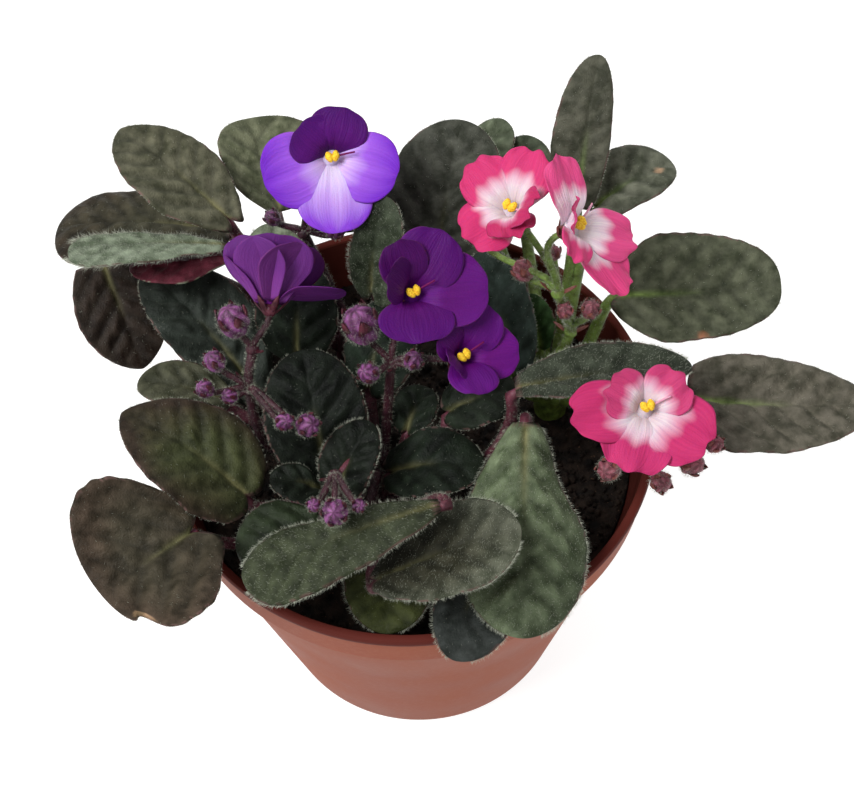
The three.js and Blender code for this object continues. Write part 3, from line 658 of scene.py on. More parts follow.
blade = {  # mm
    "thickness": 1.15, "petioleRoot": 2.1, "petioleNeck": 1.5, "veinSpacing": 7.0, "veinLean": 0.7,
    "veinBow": 0.014, "midribHalf": 0.8, "veinHalf": 0.55, "cushion": 2.3, "scallopSpacing": 4.6,
    "scallop": 0.008, "bigWidth": 22, "bigCells": (56, 44), "smallCells": (36, 28), "crowding": 1.6,
    "seed": 11,
}
fringe = {"radius": 0.042, "dense": 5.5, "sparse": 2.5, "longFrom": 0.9}  # hairs on each mm of edge
midribColors = {"violet": "74704a", "blue": "74704a", "pink": "86a050"}


def leafShape(name, changes=None):
    leaf = {**leafHabit, **leaves[name], **(changes or {})}
    neck, tip = Vector(leaf["neck"]), Vector(leaf["tip"])
    along = tip - neck
    leaf["length"] = along.length
    along.normalize()
    level = (up - along * along.z).normalized()
    right = along.cross(level)
    roll = math.radians(leaf["roll"])
    leaf["normal"] = level * math.cos(roll) + right * math.sin(roll)
    leaf["side"] = right * math.cos(roll) - level * math.sin(roll)
    leaf["neck"], leaf["along"] = neck, along
    leaf["number"] = list(leaves).index(name)
    return leaf


def sheetOf(leaf, u, v):
    # middle of the blade: u from neck to tip, v from edge to edge; also mm across and along
    reach = clamp(u)
    widest, length, half = leaf["widest"], leaf["length"], leaf["width"] / 2
    near = 1 - (1 - leaf["heel"]) * (clamp(widest - reach) / widest) ** 2
    far = (1 - (clamp(reach - widest) / (1 - widest)) ** 2.2) ** leaf["point"]
    across = np.where(reach < widest, near, far) * v * half * (1 + leaf["lop"] * v)
    if leaf["notch"]:
        place, hand, depth, span = leaf["notch"]
        across *= 1 - depth * np.exp(-(((reach - place) / span) ** 2)) * clamp(hand * v * 1.6)
    scallop = np.sin(2 * math.pi * length * reach / blade["scallopSpacing"] + leaf["number"])
    across *= 1 + blade["scallop"] * scallop * clamp(4 * reach) * clamp(6 * (1 - reach))
    heelFade = clamp(1 - reach / widest) ** 2
    back = leaf["lobe"] * length * np.sin(math.pi * clamp(np.abs(v)) ** 0.8) * heelFade
    bow = leaf["arch"] * length * (4 * reach * (1 - reach) - 0.6 * reach**2)
    lift = bow + leaf["cup"] * across**2 / half - leaf["ridge"] * (np.sqrt(across**2 + 2.0) - 1.4)
    forward = length * u - back
    points = np.array(leaf["neck"])
    for distance, direction in ((forward, "along"), (across, "side"), (lift, "normal")):
        points = points + distance[:, None] * np.array(leaf[direction])
    return points, across, forward


def normalsOf(sheet, u, v, step):  # sheet(u, v): points of a surface
    ahead = sheet(u + step, v) - sheet(u - step, v)
    sideways = sheet(u, v + step) - sheet(u, v - step)
    return unit(np.cross(sideways, ahead))


def veinsOf(leaf, u, v, across, forward):  # how much midrib, side vein and cushion there is at each point
    spacing = blade["veinSpacing"] * (leaf["width"] / 28) ** 0.5
    out = np.abs(across)
    phase = (forward - blade["veinLean"] * out - blade["veinBow"] * out**2) / spacing
    phase = phase + np.where(v < 0, 0.45, 0.0)  # the side veins don't meet in pairs
    phase = phase + 0.12 * ripple(across / 5, forward / 5, leaf["number"] + 40)
    midrib = np.exp(-((across / blade["midribHalf"]) ** 2)) * clamp(1.15 - u) ** 0.5
    near = np.abs(phase - np.round(phase)) * spacing
    fade = clamp(1.08 - np.abs(v) ** 4) * clamp(1 - u**8)
    sideVein = np.exp(-((near / blade["veinHalf"]) ** 2)) * fade * clamp(1.1 - 0.6 * np.abs(v))
    cushion = np.sin(math.pi * phase) ** 2 * clamp(out / 2.5) * fade
    cross = np.sin(math.pi * (out / (spacing * 0.62) + 0.35 * np.sin(phase * 4.1))) ** 2
    return midrib, sideVein, cushion, cross


def roundedRim(u, v, side, tip, base):  # 1 on the face, nought at the rim, where the two faces meet
    return clamp(1 - np.abs(v) ** side) ** 0.5 * clamp(1 - u**tip) ** 0.5 * clamp(u / base) ** 0.5


def bladeFaces(leaf, u, v, under):  # points, mm, colours and normals of the upper or the lower face
    points, across, forward = sheetOf(leaf, u, v)
    normals = normalsOf(lambda a, b: sheetOf(leaf, a, b)[0], np.clip(u, 0.015, 0.965), v, 0.012)
    midrib, sideVein, cushion, cross = veinsOf(leaf, u, v, across, forward)
    rim = roundedRim(u, v, 5, 12, 0.06)
    wave = 0.35 * ripple(across / 7, forward / 7, leaf["number"]) * clamp(u * 4)
    wave += 0.5 * np.sin(forward * 0.42 + leaf["number"]) * np.abs(v) ** 3 * clamp(1.1 - u)
    relief = blade["cushion"] * leaf["quilt"] * cushion**0.8 * (0.75 + 0.25 * cross)
    relief = relief - 0.4 * midrib - 0.15 * sideVein
    half = blade["thickness"] / 2
    if under:
        ribs = 0.9 * midrib * clamp(1.1 - u) + 0.3 * sideVein
        height = wave - (half + ribs) * rim + 0.9 * relief * rim
        back = rgb(leaf["under"])
        return points + normals * height[:, None], blend(back, back * 1.6, midrib + 0.5 * sideVein), normals
    height = wave + half * rim + relief * rim
    base = rgb(leaf["top"])
    if leaf["edge"]:
        patches = 0.25 * ripple(across / 4, forward / 4, leaf["number"] + 90)
        base = blend(base, rgb(leaf["edge"]), np.abs(v) ** 2.5 + clamp(2 * u - 1.1) + patches)
    # painted light: the cushions between the side veins are lightened as if lit and the veins darkened as if
    # in shade; where vein is above 1 the cushions are darkened instead and the veins get a painted highlight
    domes = cushion * (0.5 + 0.5 * cross)
    colors = base * (0.8 + 0.4 * domes * (1 if leaf["vein"] < 1 else -0.3))[:, None]
    colors = blend(colors, colors * leaf["vein"], sideVein)
    colors = blend(colors, rgb(midribColors[leaf["crown"]]), midrib * clamp(0.9 - 1.6 * u))
    # painted light and shade: one flank and one end of the blade are lightened and the other darkened, as the
    # light falls
    along, sideways = leaf["shade"]
    colors = colors * np.clip(1 + along * (2 * u - 1) + sideways * v, 0.2, 2)[:, None]
    colors = blend(colors, colors * 1.5 + 0.006, clamp((np.abs(v) - 0.95) / 0.05) * 0.6)  # pale margin
    if leaf["scar"]:
        placeU, placeV, size, scarColor = leaf["scar"]
        away = np.hypot((u - placeU) * leaf["length"], (v - placeV) * leaf["width"] / 2)
        ragged = away * (1 + 0.35 * ripple(across, forward, leaf["number"] + 60))
        colors = blend(colors, rgb(scarColor), 1.6 * np.exp(-((ragged / size) ** 4)))
    return points + normals * height[:, None], colors, normals


def sheetMesh(name, cells, crowding, faces):
    # an upper grid at z 0 and a lower one at z -1, turned over, laid on the points of faces(u, v, under)
    bm = bmesh.new()
    for depth in (0, -1):
        verts = bmesh.ops.create_grid(bm, x_segments=cells[1], y_segments=cells[0], size=0.5)["verts"]
        if depth:
            bmesh.ops.translate(bm, vec=(0, 0, depth), verts=verts)
            bmesh.ops.reverse_faces(bm, faces=list({f for vert in verts for f in vert.link_faces}))
    mesh = toMesh(name, bm, closed=False)
    flat = readPoints(mesh)
    v = np.clip(flat[:, 0] * 2, -1, 1)
    u = 1 - (1 - clamp(flat[:, 1] + 0.5)) ** crowding
    top, low = faces(u, v, False), faces(u, v, True)
    points, colors = (np.where(flat[:, 2:] < -0.5, below, above) for above, below in zip(top, low))
    mesh.vertices.foreach_set("co", (points * mm).ravel())
    layer = mesh.attributes.new("skinColor", "FLOAT_COLOR", "POINT")
    layer.data.foreach_set("color", np.c_[colors, np.ones(len(colors))].ravel())
    return mesh, u, v


def addSheet(whole, mesh):  # joins the two faces where they meet along the edge, then adds them to the piece
    bm = bmesh.new()
    bm.from_mesh(mesh)
    bmesh.ops.remove_doubles(bm, verts=bm.verts, dist=1e-6)
    bmesh.ops.dissolve_degenerate(bm, edges=bm.edges, dist=1e-7)
    bmesh.ops.recalc_face_normals(bm, faces=bm.faces)
    bm.to_mesh(mesh)
    bm.free()
    whole.from_mesh(mesh)
    bpy.data.meshes.remove(mesh)


def leafHairs(leaf):  # a coat over the upper face and a fringe along the edge
    draw = np.random.default_rng(blade["seed"] + leaf["number"])
    tries = int(leaf["fur"] * leaf["length"] * leaf["width"] * 1.05)
    u, v = draw.uniform(0.02, 0.985, tries), draw.uniform(-0.98, 0.98, tries)
    widthHere = np.abs(sheetOf(leaf, u, v)[1]) / np.maximum(np.abs(v), 0.05)
    kept = draw.uniform(0, leaf["width"] * 0.55, tries) < widthHere
    points, _, normals = bladeFaces(leaf, u[kept], v[kept], False)
    count, along = len(points), np.array(leaf["along"])
    directions = normals * 0.75 + along * 0.5 + draw.normal(size=(count, 3)) * 0.35
    addHairs(leaf["crown"], points, directions, draw.uniform(0.4, 0.9, count))
    perimeter = 2.2 * leaf["length"] + leaf["width"]
    count = int(perimeter * fringe["dense" if leaf["fringe"] > fringe["longFrom"] else "sparse"])
    turn = draw.uniform(0, 1, count)
    v = np.where(draw.uniform(size=count) < 0.5, -1.0, 1.0) * 0.995
    u = 0.02 + 0.96 * (1 - (1 - turn) ** 1.6)
    points, _, normals = bladeFaces(leaf, u, v, False)
    tipShare = (u**3)[:, None]
    outward = np.array(leaf["side"]) * np.sign(v)[:, None] * (1.05 - tipShare) + along * tipShare
    directions = outward + normals * 0.15 + draw.normal(size=(count, 3)) * 0.3
    lengths = leaf["fringe"] * draw.uniform(0.6, 1.3, count)
    addHairs(leaf["crown"], points, directions, lengths, fringe["radius"])


def makeLeaf(name):
    leaf = leafShape(name)
    whole = bmesh.new()
    halves = [leaf]
    if leaf["rolled"]:  # the near half of the blade is turned under and shows its wine-red back
        halves.append(leafShape(name, leaf["rolled"]))
    for half in halves:
        cells = blade["bigCells" if half["width"] > blade["bigWidth"] else "smallCells"]
        mesh = sheetMesh("blade", cells, blade["crowding"], lambda *spot: bladeFaces(half, *spot)[:2])[0]
        addSheet(whole, mesh)
    mesh = toMesh("leaf_" + name, whole, closed=False)
    finishPiece("velvet_leaf_" + name, mesh, velvetLeaf, ["leaf_" + name])
    leafHairs(leaf)


for name in leaves:
    makeLeaf(name)
print("leaves:", len(leaves))


def bezierLine(a, b, c, d, steps):
    return [
        a * (1 - t) ** 3 + b * (3 * (1 - t) ** 2 * t) + c * (3 * (1 - t) * t * t) + d * t**3
        for t in (i / steps for i in range(steps + 1))
    ]


def smoothLine(points, steps):  # a curve through given points
    line = []
    for i in range(len(points) - 1):
        a, b = points[i], points[i + 1]
        before = points[i - 1] if i else a * 2 - b
        after = points[i + 2] if i + 2 < len(points) else b * 2 - a
        for t in (s / steps for s in range(steps)):
            slope = (b - before) * t
            curve = (before * 2 - a * 5 + b * 4 - after) * t * t
            line.append((a * 2 + slope + curve + (a * 3 - before - b * 3 + after) * t**3) * 0.5)
    return line + [points[-1].copy()]


def lineFrames(line):  # at each point: the way on, and two directions across that don't twist
    frames = []
    sideways = (line[1] - line[0]).orthogonal().normalized()
    for i in range(len(line)):
        ahead = (line[min(i + 1, len(line) - 1)] - line[max(i - 1, 0)]).normalized()
        sideways = (sideways - ahead * sideways.dot(ahead)).normalized()
        frames.append((ahead, sideways.copy(), ahead.cross(sideways)))
    return frames


def addTube(bm, layer, line, radii, color, endColor=None, sides=10):  # a closed round stem along a line, mm
    frames = lineFrames(line)
    rings = len(line) - 1
    low, high = Vector(linear(color)), Vector(linear(endColor or color))
    verts = bmesh.ops.create_grid(bm, x_segments=sides, y_segments=rings, size=0.5)["verts"]
    for vert in verts:
        turn, step = 2 * math.pi * vert.co.x, round((vert.co.y + 0.5) * rings)
        outward = frames[step][1] * math.cos(turn) + frames[step][2] * math.sin(turn)
        vert.co = (line[step] + outward * radii[step]) * mm
        vert[layer] = low.lerp(high, step / rings)
    bmesh.ops.remove_doubles(bm, verts=verts, dist=1e-7)
    ends = {e for v in verts if v.is_valid for e in v.link_edges if e.is_boundary}
    bmesh.ops.edgeloop_fill(bm, edges=list(ends))


def stemHairs(plant, line, radii, density, longest, seed):
    draw = np.random.default_rng(seed)
    ahead, sideways, over = (np.array(rows) for rows in zip(*lineFrames(line)))
    length = sum((b - a).length for a, b in zip(line, line[1:]))
    count = int(density * length * 2 * math.pi * sum(radii) / len(radii))
    if not count:
        return
    place = draw.uniform(0, len(line) - 1.001, count)
    step = place.astype(int)
    share = (place - step)[:, None]
    points = np.array(line)
    centres = points[step] * (1 - share) + points[step + 1] * share
    turn = draw.uniform(0, 2 * math.pi, count)[:, None]
    outward = sideways[step] * np.cos(turn) + over[step] * np.sin(turn)
    roots = centres + outward * np.array(radii)[step][:, None] * 0.95
    directions = outward + ahead[step] * 0.15 + draw.normal(size=(count, 3)) * 0.2
    addHairs(plant, roots, directions, draw.uniform(0.55, 1.0, count) * longest)


def taper(start, end, count):
    return [start + (end - start) * i / (count - 1) for i in range(count)]


stem = {
    "radii": (5.5, 5.3, 5.1, 4.9, 4.7, 4.2, 2.6), "rootHeight": 98.0, "top": 106.0, "foot": 82.0, "sides": 18,
    "hairDensity": 1.4, "hairLength": 1.1,
}
stemColors = {  # near the crown, near the blade
    "violet": ("3c1420", "6a3442"),
    "blue": ("3c1420", "66303e"),
    "pink": ("6f8a3c", "7f9c4c"),
}


def petioleLine(leaf):  # rises from the crown and comes up under the blade's neck
    x, y = crowns[leaf["crown"]]
    root = Vector((x, y, stem["rootHeight"]))
    end = leaf["neck"] - leaf["along"] * 1.5 - leaf["normal"] * 2.4
    outward = (end - root) * Vector((1, 1, 0))
    outward.normalize()
    root = root + outward * stem["radii"][0] * 0.5
    distance = (end - root).length
    rise = root + outward * distance * 0.3 + up * distance * 0.2 + Vector(leaf["bend"])
    under = end - leaf["along"] * distance * 0.12 - leaf["normal"] * distance * 0.12
    under = under + Vector(leaf["bend"]) + Vector(leaf["neckBend"])
    joined = leaf["neck"] + leaf["along"] * 1.6 - leaf["normal"] * 0.9
    return bezierLine(root, rise, under, end, 18) + [end.lerp(joined, 0.5), joined]


def makeCrown(kind):
    bm = bmesh.new()
    layer = bm.verts.layers.float_color.new("skinColor")
    x, y = crowns[kind]
    low, high = stemColors[kind]
    body = [Vector((x, y, z)) for z in np.linspace(stem["foot"], stem["top"], len(stem["radii"]))]
    addTube(bm, layer, body, stem["radii"], low, sides=stem["sides"])
    for name in leaves:
        if leaves[name]["crown"] != kind:
            continue
        leaf = leafShape(name)
        line = petioleLine(leaf)
        radii = taper(blade["petioleRoot"], blade["petioleNeck"], len(line) - 2) + [1.35, 1.0]
        addTube(bm, layer, line, radii, low, high, sides=12)
        seed = leaf["number"] + 300
        stemHairs(kind, line[:-2], radii[:-2], stem["hairDensity"], stem["hairLength"], seed)
    mesh = toMesh("crown_" + kind, bm)
    finishPiece("crown_and_petioles_" + kind, mesh, fleshyStem, ["crown_" + kind])


for kind in crowns:
    makeCrown(kind)
print("crowns and petioles")

# at: middle of the throat, mm; facing: where it looks; radius: reach of a full petal, mm
# frill: height of the waves, mm. For the lowest petal, the two beside it and the upper two: turns, degrees
# clockwise from the upper side; lengths and widths, shares of the radius; cones, degrees it stands up
flowers = {
    "blue_top": dict(
        stalk="blue", at=(-16, 44, 172), facing=(0.1, -0.62, 0.78), radius=21, frill=0.3,
        turns=(188, -100, 118, -38, 24), lengths=(0.98, 0.94, 0.87, 0.58, 0.64),
        widths=(0.86, 0.86, 0.8, 0.62, 0.66), cones=(8, 8, 8, 10, 8),
    ),
    "violet_left": dict(
        stalk="violet_left", at=(-35, 17, 150), facing=(0.1, 0.9, 0.35), radius=19, frill=0.3,
        turns=(-110, 105, -55, 35, -12), lengths=(1.1, 0.85, 0.9, 0.95, 0.95),
        widths=(0.75, 0.95, 1.05, 0.95, 1.0), cones=(5, 42, 42, 45, 45),
    ),
    "violet_mid": dict(
        stalk="violet_mid", at=(3, 6, 160), facing=(0.2, -0.4, 0.9), radius=20, frill=0.4,
        turns=(112, -158, 53, -42, 4), lengths=(1, 0.72, 0.9, 0.66, 0.72),
        widths=(0.9, 0.9, 0.8, 0.55, 0.6), cones=(8, 12, 12, 50, 20),
    ),
    "violet_low": dict(
        stalk="violet_mid", at=(15, -6, 147), facing=(0.35, -0.45, 0.82), radius=15, frill=0.4,
        turns=(118, -155, 62, -95, -20), lengths=(1.05, 0.95, 1, 0.6, 0.66),
        widths=(0.86, 0.8, 0.86, 0.6, 0.6), cones=(8, 40, 12, 45, 20),
    ),
    "pink_back": dict(
        stalk="pink_tall", at=(29, 15, 181), facing=(-0.25, -0.3, 0.9), radius=16, frill=1.2,
        turns=(-160, -72, -4, 86, 140), lengths=(0.88, 0.97, 0.98, 0.85, 0.72),
        widths=(0.9, 0.8, 0.85, 0.66, 0.7), cones=(10, 12, 12, 50, 25),
    ),
    "pink_tall": dict(
        stalk="pink_tall", at=(45, 7, 182), facing=(0.6, -0.25, 0.76), radius=19, frill=1.2,
        turns=(-158, 38, 160, -18, -94), lengths=(1.1, 0.95, 0.9, 0.5, 0.66),
        widths=(0.7, 0.62, 0.66, 0.45, 0.5), cones=(5, 8, 8, 45, 10),
    ),
    "pink_front": dict(
        stalk="pink_low", at=(60, -29, 152), facing=(0.1, -0.3, 0.95), radius=21, frill=1.3,
        turns=(-140, -78, 148, -42, 74), lengths=(0.88, 0.98, 0.88, 0.56, 0.58),
        widths=(0.8, 0.7, 0.85, 0.6, 0.6), cones=(8, 8, 8, 12, 12),
    ),
}
petalForm = {  # mm
    "fullness": 1.14, "lifts": (0, 0.25, 0.5, 0.8, 1.1), "thickness": 0.5, "throatRadius": 2.0,
    "throatDepth": 3.2, "cells": (44, 36), "crowding": 1.5,
}
petalColors = {  # eye, middle and rim of the lowest petal, of the two beside it and of the upper two
    "blue_top": ("e0d4f0 be9ae0 8440cc", "d6bcee 9858d4 742ec0", "480f5e 500f68 460d62"),
    "violet_left": ("6a2078 6a207e 601a7a", "5c1c66 5c1a6c 541662", "6c2a7c 64227a 561870"),
    "violet_mid": ("60187a 540e64 5a1270", "560e66 4e0e60 4e0e66", "4c0c5c 480c56 440a52"),
    "violet_low": ("66187a 60116e 621276", "5e0e70 58106e 5a1072", "580e6a 520c62 4c0b5c"),
    "pink_back": ("dccfd3 dfc0ca c4346a", "dccfd3 dab0be c8376e", "dccace cc7a98 b42e5e"),
    "pink_tall": ("e4d8dc e6d2d8 d4467c", "e4d8dc e6ccd5 d84e84", "e4d2d8 deacbe ce4276"),
    "pink_front": ("dccdd2 dabac5 be346a", "dccdd2 d49cb0 be3268", "dccad0 d494aa be3e6e"),
}
petalStops = {"blue": (0.1, 0.5, 0.95), "violet": (0.1, 0.4, 0.9), "pink": (0.26, 0.42, 0.6)}
styleColors = {"blue": "6a1450", "violet": "6a1450", "pink": "d8a0b4"}


def flowerAxes(flower):
    facing = Vector(flower["facing"]).normalized()
    top = (up - facing * facing.z).normalized()
    return Vector(flower["at"]), facing, top, top.cross(facing)


def petalSheet(flower, i, u, v):
    at, facing, top, side = flowerAxes(flower)
    turn, cone = math.radians(flower["turns"][i]), math.radians(flower["cones"][i])
    out = np.array(top * math.cos(turn) + side * math.sin(turn))
    across = np.array(side * math.cos(turn) - top * math.sin(turn))
    start = petalForm["throatRadius"] - 0.6
    length = flower["lengths"][i] * flower["radius"] - start
    half = flower["widths"][i] * flower["radius"] / 2
    reach = clamp(u)
    near = 0.38 + 0.62 * np.sin(math.pi / 2 * clamp(reach / 0.58))
    # known fault: rounding makes this NaN at the very tip, u = 1; (1 - 0.58) for 0.42 would cure it
    far = np.sqrt(1 - (clamp(reach - 0.58) / 0.42) ** 2.6)
    share = np.where(reach < 0.58, near, far) * v  # place across; the ruffle fades with it towards the tip
    width = petalForm["fullness"] * half * share
    scallop = 0.5 * flower["frill"] * np.sin(9 * share + 2 * turn) * reach**3 * (1 - share**2)
    along = length * u - 0.35 * length * v**2 * reach * (1 - reach) + scallop
    wave = np.sin(6 * share + flower["turns"][i] + 4 * reach) + 0.5 * np.sin(14 * share + 4 * turn) * reach**3
    height = petalForm["lifts"][i] * clamp(2 * reach)
    height = height + flower["frill"] * wave * reach**2 * (0.4 + 0.6 * np.abs(share))
    dip = -petalForm["throatDepth"] * (1 - clamp(3 * reach)) ** 2
    outward = start + along * math.cos(cone) - height * math.sin(cone)
    forward = dip + height * math.cos(cone) + along * math.sin(cone)
    points = np.array(at)
    for distance, direction in ((outward, out), (width, across), (forward, np.array(facing))):
        points = points + distance[:, None] * direction
    return points


def petalFaces(name, i, u, v, under):  # points, mm, and colours of the upper or the lower face
    flower = flowers[name]
    turn = flower["turns"][i]
    flank = np.where(u > 0.985, 0, v)
    normals = normalsOf(lambda a, b: petalSheet(flower, i, a, b), np.clip(u, 0.02, 0.96), flank, 0.015)
    crease = 0.22 * np.exp(-((v / 0.12) ** 2)) * clamp(1 - u)
    soft = 0.06 * np.sin(16 * v + 3 * turn) * clamp(1 - 0.6 * u) * clamp(3 * u)
    height = (-1 if under else 1) * petalForm["thickness"] / 2 * roundedRim(u, v, 6, 14, 0.05)
    height = height - (crease + 0.5 * soft) * clamp(8 * (1 - u))
    eye, middle, edge = (rgb(color) for color in petalColors[name][(i + 1) // 2].split())
    first, second, third = petalStops[name.split("_")[0]]
    reach = u + 0.04 * np.sin(11 * v + turn) + 0.03 * np.sin(5 * v + 2 * turn) + 0.14 * v**2
    colors = blend(eye, middle, (reach - first) / (second - first))
    colors = blend(colors, edge, (reach - second) / (third - second))
    if under:
        colors = colors * 0.9 + np.array((0.05, 0.02, 0.05))
    return petalSheet(flower, i, u, v) + normals * height[:, None], colors


def makeCorolla(name):
    flower, plant = flowers[name], name.split("_")[0]
    whole = bmesh.new()
    for i, turn in enumerate(flower["turns"]):
        cells, crowding = petalForm["cells"], petalForm["crowding"]
        mesh, u, v = sheetMesh("petal", cells, crowding, lambda *spot: petalFaces(name, i, *spot))
        corner = np.empty(len(mesh.loops), int)
        mesh.loops.foreach_get("vertex_index", corner)
        petalMap = mesh.uv_layers.new(name="petal")
        petalMap.data.foreach_set("uv", np.c_[v[corner] + turn, u[corner]].ravel())
        addSheet(whole, mesh)
    at, facing, _, side = flowerAxes(flower)
    layer = whole.verts.layers.float_color["skinColor"]
    throat = at - facing * petalForm["throatDepth"]
    tube = [throat + facing * z for z in (-0.6, -0.1, 0.5, 1.2)]
    radii = [petalForm["throatRadius"] + more for more in (-0.9, -0.4, 0, 0.5)]
    addTube(whole, layer, tube, radii, petalColors[name][0].split()[0], sides=20)
    style = [at + facing * z + side * x for x, z in ((0, -2.4), (1.6, 0.6), (4, 2.4), (6, 3))]
    addTube(whole, layer, smoothLine(style, 5), taper(0.34, 0.26, 16), styleColors[plant], sides=8)
    mesh = toMesh("corolla_" + name, whole)
    finishPiece("satin_corolla_" + name, mesh, petalSkin, ["corolla_" + name])


def addEgg(bm, layer, centre, axis, radius, length, colors, lobes=0, depth=0.0, turns=18):
    # mm, a bud or a pollen sac; lobes: soft folds round it, striped with the second colour
    spin = axis.to_track_quat("Z", "Y")
    low, high = (Vector(linear(color)) for color in colors)
    for vert in bmesh.ops.create_uvsphere(bm, u_segments=turns, v_segments=12, radius=1.0)["verts"]:
        x, y, z = vert.co
        fold = math.cos(lobes * math.atan2(y, x) + 4 * z)
        wide = radius * (1 + depth * fold)
        vert[layer] = low.lerp(high, 0.5 + 0.5 * fold)
        vert.co = (centre + spin @ Vector((x * wide, y * wide, z * length))) * mm


sepalThickness = 0.55


def addSepal(bm, layer, base, axis, outward, length, width, hug, color):
    # a narrow pointed blade that leaves the base sideways and curves up round the bud or tube
    across = axis.cross(outward).normalized()
    tint = Vector(linear(color))
    both = []
    for face in (1, -1):
        verts = bmesh.ops.create_grid(bm, x_segments=6, y_segments=10, size=0.5)["verts"]
        if face < 0:
            bmesh.ops.reverse_faces(bm, faces=list({f for vert in verts for f in vert.link_faces}))
        for vert in verts:
            u, v = vert.co.y + 0.5, vert.co.x * 2
            half = width / 2 * math.sin(math.pi * (0.12 + 0.88 * u) ** 0.8) ** 0.8 * v
            bow = math.sin(math.pi * min(u, 0.98) * 0.62)
            thick = face * sepalThickness / 2 * (1 - abs(v) ** 3) * (1 - u**6)
            place = base + axis * length * u + outward * (hug * bow + thick) + across * half
            vert.co = (place - outward * (v**2 * width * 0.16)) * mm
            vert[layer] = tint * (0.8 + 0.4 * u)
        both += verts
    bmesh.ops.remove_doubles(bm, verts=both, dist=2e-6)


# trunk: points from the crown up, mm
# buds: place, radius, mm, and the fork that the bud hangs from, counted from the top
stalks = {
    "blue": dict(
        plant="blue", trunk=[(-16, 34, 106), (-22, 42, 124), (-26, 40, 146)],
        buds=[(-17, 39, 147, 2.7, 0), (-8, 41, 148, 2.5, 0), (-34, 41, 152, 2.5, 0)],
    ),
    "violet_left": dict(
        plant="violet",
        trunk=[(-12, -14, 106), (-26, -11, 109), (-40, -8, 113), (-43, -2, 132), (-41, 5, 141)],
        buds=[
            (-45, 8, 150, 4.8, 0), (-51, 1, 142, 3.2, 1), (-54, -5, 138, 2.7, 1), (-48, -5, 134, 2.4, 1),
            (-33, -17, 138, 2.7, 1), (-27, -18, 137, 3.5, 1),
        ],
    ),
    "violet_mid": dict(
        plant="violet", trunk=[(-8, -13, 106), (-7, -7, 112), (-4, -1, 138)],
        buds=[(-11, 4, 150, 5.6, 0), (-10, -6, 142, 3.2, 0), (2, -3, 142, 2.9, 0)],
    ),
    "violet_front": dict(
        plant="violet", trunk=[(-10, -18, 106), (-14, -30, 110), (-19, -36, 121), (-20, -36, 140)],
        buds=[(-20, -51, 148, 3.8, 0), (-25, -48, 147, 2, 0), (-14, -49, 147, 2, 0)],
    ),
    "pink_tall": dict(
        plant="pink", trunk=[(41, 14, 106), (47, 16, 124), (42, 12, 148)],
        buds=[
            (33, 17, 152, 3.2, 0), (44, 10, 142, 2.5, 1), (51, 10, 142, 3, 1), (21, 24, 160, 3.2, 0),
            (41, 16, 160, 2.1, 0),
        ],
    ),
    "pink_low": dict(
        plant="pink", trunk=[(45, 9, 106), (54, -8, 118), (61, -21, 129)],
        buds=[
            (52, -31, 126, 3.5, 0), (65, -36, 126, 3.2, 0), (73, -34, 131, 3.6, 0), (79, -31, 135, 2.6, 0),
        ],
    ),
}
stalkForm = {  # mm; fur: hairs on each square mm
    "trunkRadius": 1.6, "pedicelRadius": 0.95, "knuckle": 1.2, "trunkFur": 3.0, "pedicelFur": 3.5,
    "budFur": 3.0,
}
stalkColors = {  # stem, sepal, and the two stripes of a bud
    "violet": ("3e1824", "54202e", "8e508a", "57264f"),
    "blue": ("341420", "4a2030", "74406e", "3a1836"),
    "pink": ("7f9c4a", "8a5048", "a05c69", "774049"),
}


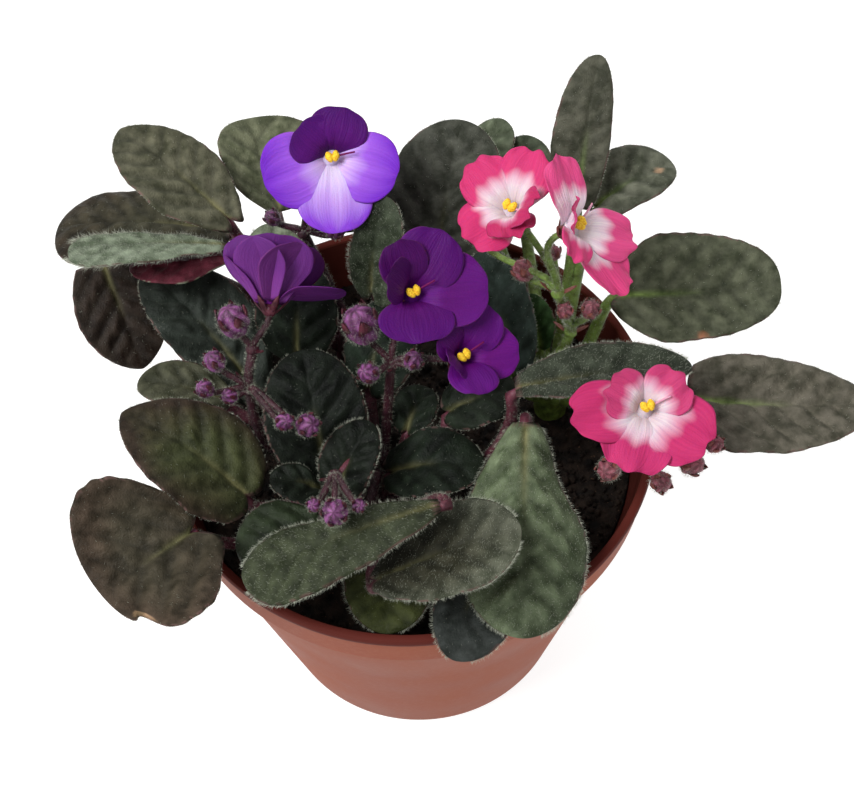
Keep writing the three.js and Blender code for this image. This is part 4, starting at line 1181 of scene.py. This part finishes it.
def makeStalk(name):
    stalk = stalks[name]
    plant = stalk["plant"]
    stemColor, sepalColor, budLight, budDark = stalkColors[plant]
    bm = bmesh.new()
    layer = bm.verts.layers.float_color.new("skinColor")
    points = [Vector(p) for p in stalk["trunk"]]
    points[0].z = stem["top"] - 1.5
    points.insert(1, Vector((points[0].x, points[0].y, stem["top"] + 2.9)))
    forks = points[::-1]
    seed = 700 + 40 * list(stalks).index(name)
    trunk = smoothLine(points, 8)
    radii = taper(stalkForm["trunkRadius"], stalkForm["trunkRadius"] * 0.8, len(trunk))
    addTube(bm, layer, trunk, radii, stemColor, sides=12)
    stemHairs(plant, trunk, radii, stalkForm["trunkFur"], 1.3, seed)

    def addPedicel(fork, to, arrival, number):
        start = fork.lerp(to, 0.6 / (to - fork).length)
        distance = (to - start).length
        line = bezierLine(start, start + up * distance * 0.35, to - arrival * distance * 0.4, to, 12)
        widths = taper(stalkForm["pedicelRadius"], 0.85, len(line))
        addTube(bm, layer, line, widths, stemColor, sides=10)
        stemHairs(plant, line, widths, stalkForm["pedicelFur"], 1.1, seed + number)

    for fork in (forks[index] for index in sorted({0, *(bud[4] for bud in stalk["buds"])})):
        knuckle = stalkForm["trunkRadius"] * stalkForm["knuckle"]
        addEgg(bm, layer, fork, up, knuckle, knuckle, (stemColor, stemColor))
        for turn in (0.6, 3.7):  # a pair of small bracts where the stalk forks
            outward = Vector((math.cos(turn + seed), math.sin(turn + seed), 0))
            axis = (up + outward * 0.8).normalized()
            addSepal(bm, layer, fork + outward * 1.2, axis, outward, 5.0, 1.5, 0.8, sepalColor)
    number = 1
    for flower in flowers.values():
        if flower["stalk"] != name:
            continue
        at, facing, top, side = flowerAxes(flower)
        cup = at - facing * (petalForm["throatDepth"] + 0.75)
        foot = cup - facing * 3.0
        calyx = [foot, foot + facing * 0.8, foot + facing * 1.8, cup]
        addTube(bm, layer, calyx, [0.9, 1.7, 2.1, 1.9], sepalColor, sides=14)
        for i in range(5):
            turn = 2 * math.pi * (i + 0.5) / 5
            outward = top * math.cos(turn) + side * math.sin(turn)
            base = foot + facing * 1.0 + outward * 1.5
            axis = (facing + outward * 0.75).normalized()
            addSepal(bm, layer, base, axis, outward, 5.2, 2.2, 0.5, sepalColor)
        addPedicel(forks[0], foot + facing * 0.6, facing, number)
        number += 1
    for x, y, z, radius, index in stalk["buds"]:
        place, fork = Vector((x, y, z)), forks[index]
        away = ((place - fork).normalized() + up).normalized()
        addPedicel(fork, place - away * radius * 0.7, away, number)
        colors = (budDark, budLight)
        addEgg(bm, layer, place, away, radius * 0.86, radius * 1.05, colors, lobes=6, depth=0.07, turns=36)
        first = away.orthogonal().normalized()
        for i in range(5):
            outward = Matrix.Rotation(2 * math.pi * i / 5 + number, 3, away) @ first
            base = place - away * radius * 0.85 + outward * radius * 0.3
            addSepal(bm, layer, base, away, outward, radius * 1.75, radius * 0.85, radius * 0.62, sepalColor)
        budHairs(plant, place, radius * 0.95, seed + 20 + number)
        number += 1
    mesh = toMesh("stalk_" + name, bm)
    finishPiece("flower_stalk_" + name, mesh, fleshyStem, ["stalk_" + name])


def budHairs(plant, centre, radius, seed):
    draw = np.random.default_rng(seed)
    count = int(stalkForm["budFur"] * 4 * math.pi * radius**2)
    outward = unit(draw.normal(size=(count, 3)))
    roots = np.array(centre) + outward * radius * draw.uniform(0.9, 1.05, (count, 1))
    addHairs(plant, roots, outward + draw.normal(size=(count, 3)) * 0.3, draw.uniform(0.5, 1.1, count))


def makeAnthers(name):  # two plump pollen sacs on their filament
    at, facing, top, side = flowerAxes(flowers[name])
    bm = bmesh.new()
    layer = bm.verts.layers.float_color.new("skinColor")
    foot = 1.3 - petalForm["throatDepth"]
    filament = [at + facing * z for z in (foot, foot + 0.8, 0.0, 0.7)]
    addTube(bm, layer, filament, [0.6, 0.5, 0.5, 0.6], "e8d89a", sides=8)
    for direction in (-1, 1):
        centre = at + side * direction * 0.85 + facing * 1.3
        axis = (top + side * direction * 0.25).normalized()
        addEgg(bm, layer, centre, axis, 1.0, 1.55, ("f2c81c", "f2c81c"), 2, 0.1)
    mesh = toMesh("anthers_" + name, bm)
    finishPiece("pollen_sacs_" + name, mesh, pollen, ["anthers_" + name])


for name in flowers:
    makeCorolla(name)
    makeAnthers(name)
print("flowers:", len(flowers))
for name in stalks:
    makeStalk(name)
print("flower stalks:", len(stalks))


def hairSpike():  # three-sided, of unit height and radius
    bm = bmesh.new()
    bmesh.ops.create_cone(bm, cap_ends=True, segments=3, radius1=1.0, radius2=0.0, depth=1.0)
    bmesh.ops.translate(bm, vec=(0, 0, 0.5), verts=bm.verts)
    return readTemplate(bm)


def makeHairs(plant):
    roots, directions, lengths, widths = (np.concatenate(rows) for rows in zip(*hairs[plant]))
    reference = np.where(np.abs(directions[:, 2:]) < 0.9, (0.0, 0.0, 1.0), (1.0, 0.0, 0.0))
    first = unit(np.cross(reference, directions))
    second = np.cross(directions, first)
    sizes = ((first, widths), (second, widths), (directions, lengths))
    axes = np.stack([direction * size[:, None] for direction, size in sizes], axis=1)
    mesh = scatter("hairs_" + plant, hairSpike(), roots, axes)
    finishPiece("plant_hairs_" + plant, mesh, plantHair, [])
    print("hairs of the", plant, "plant:", len(roots))


for plant in hairs:
    makeHairs(plant)
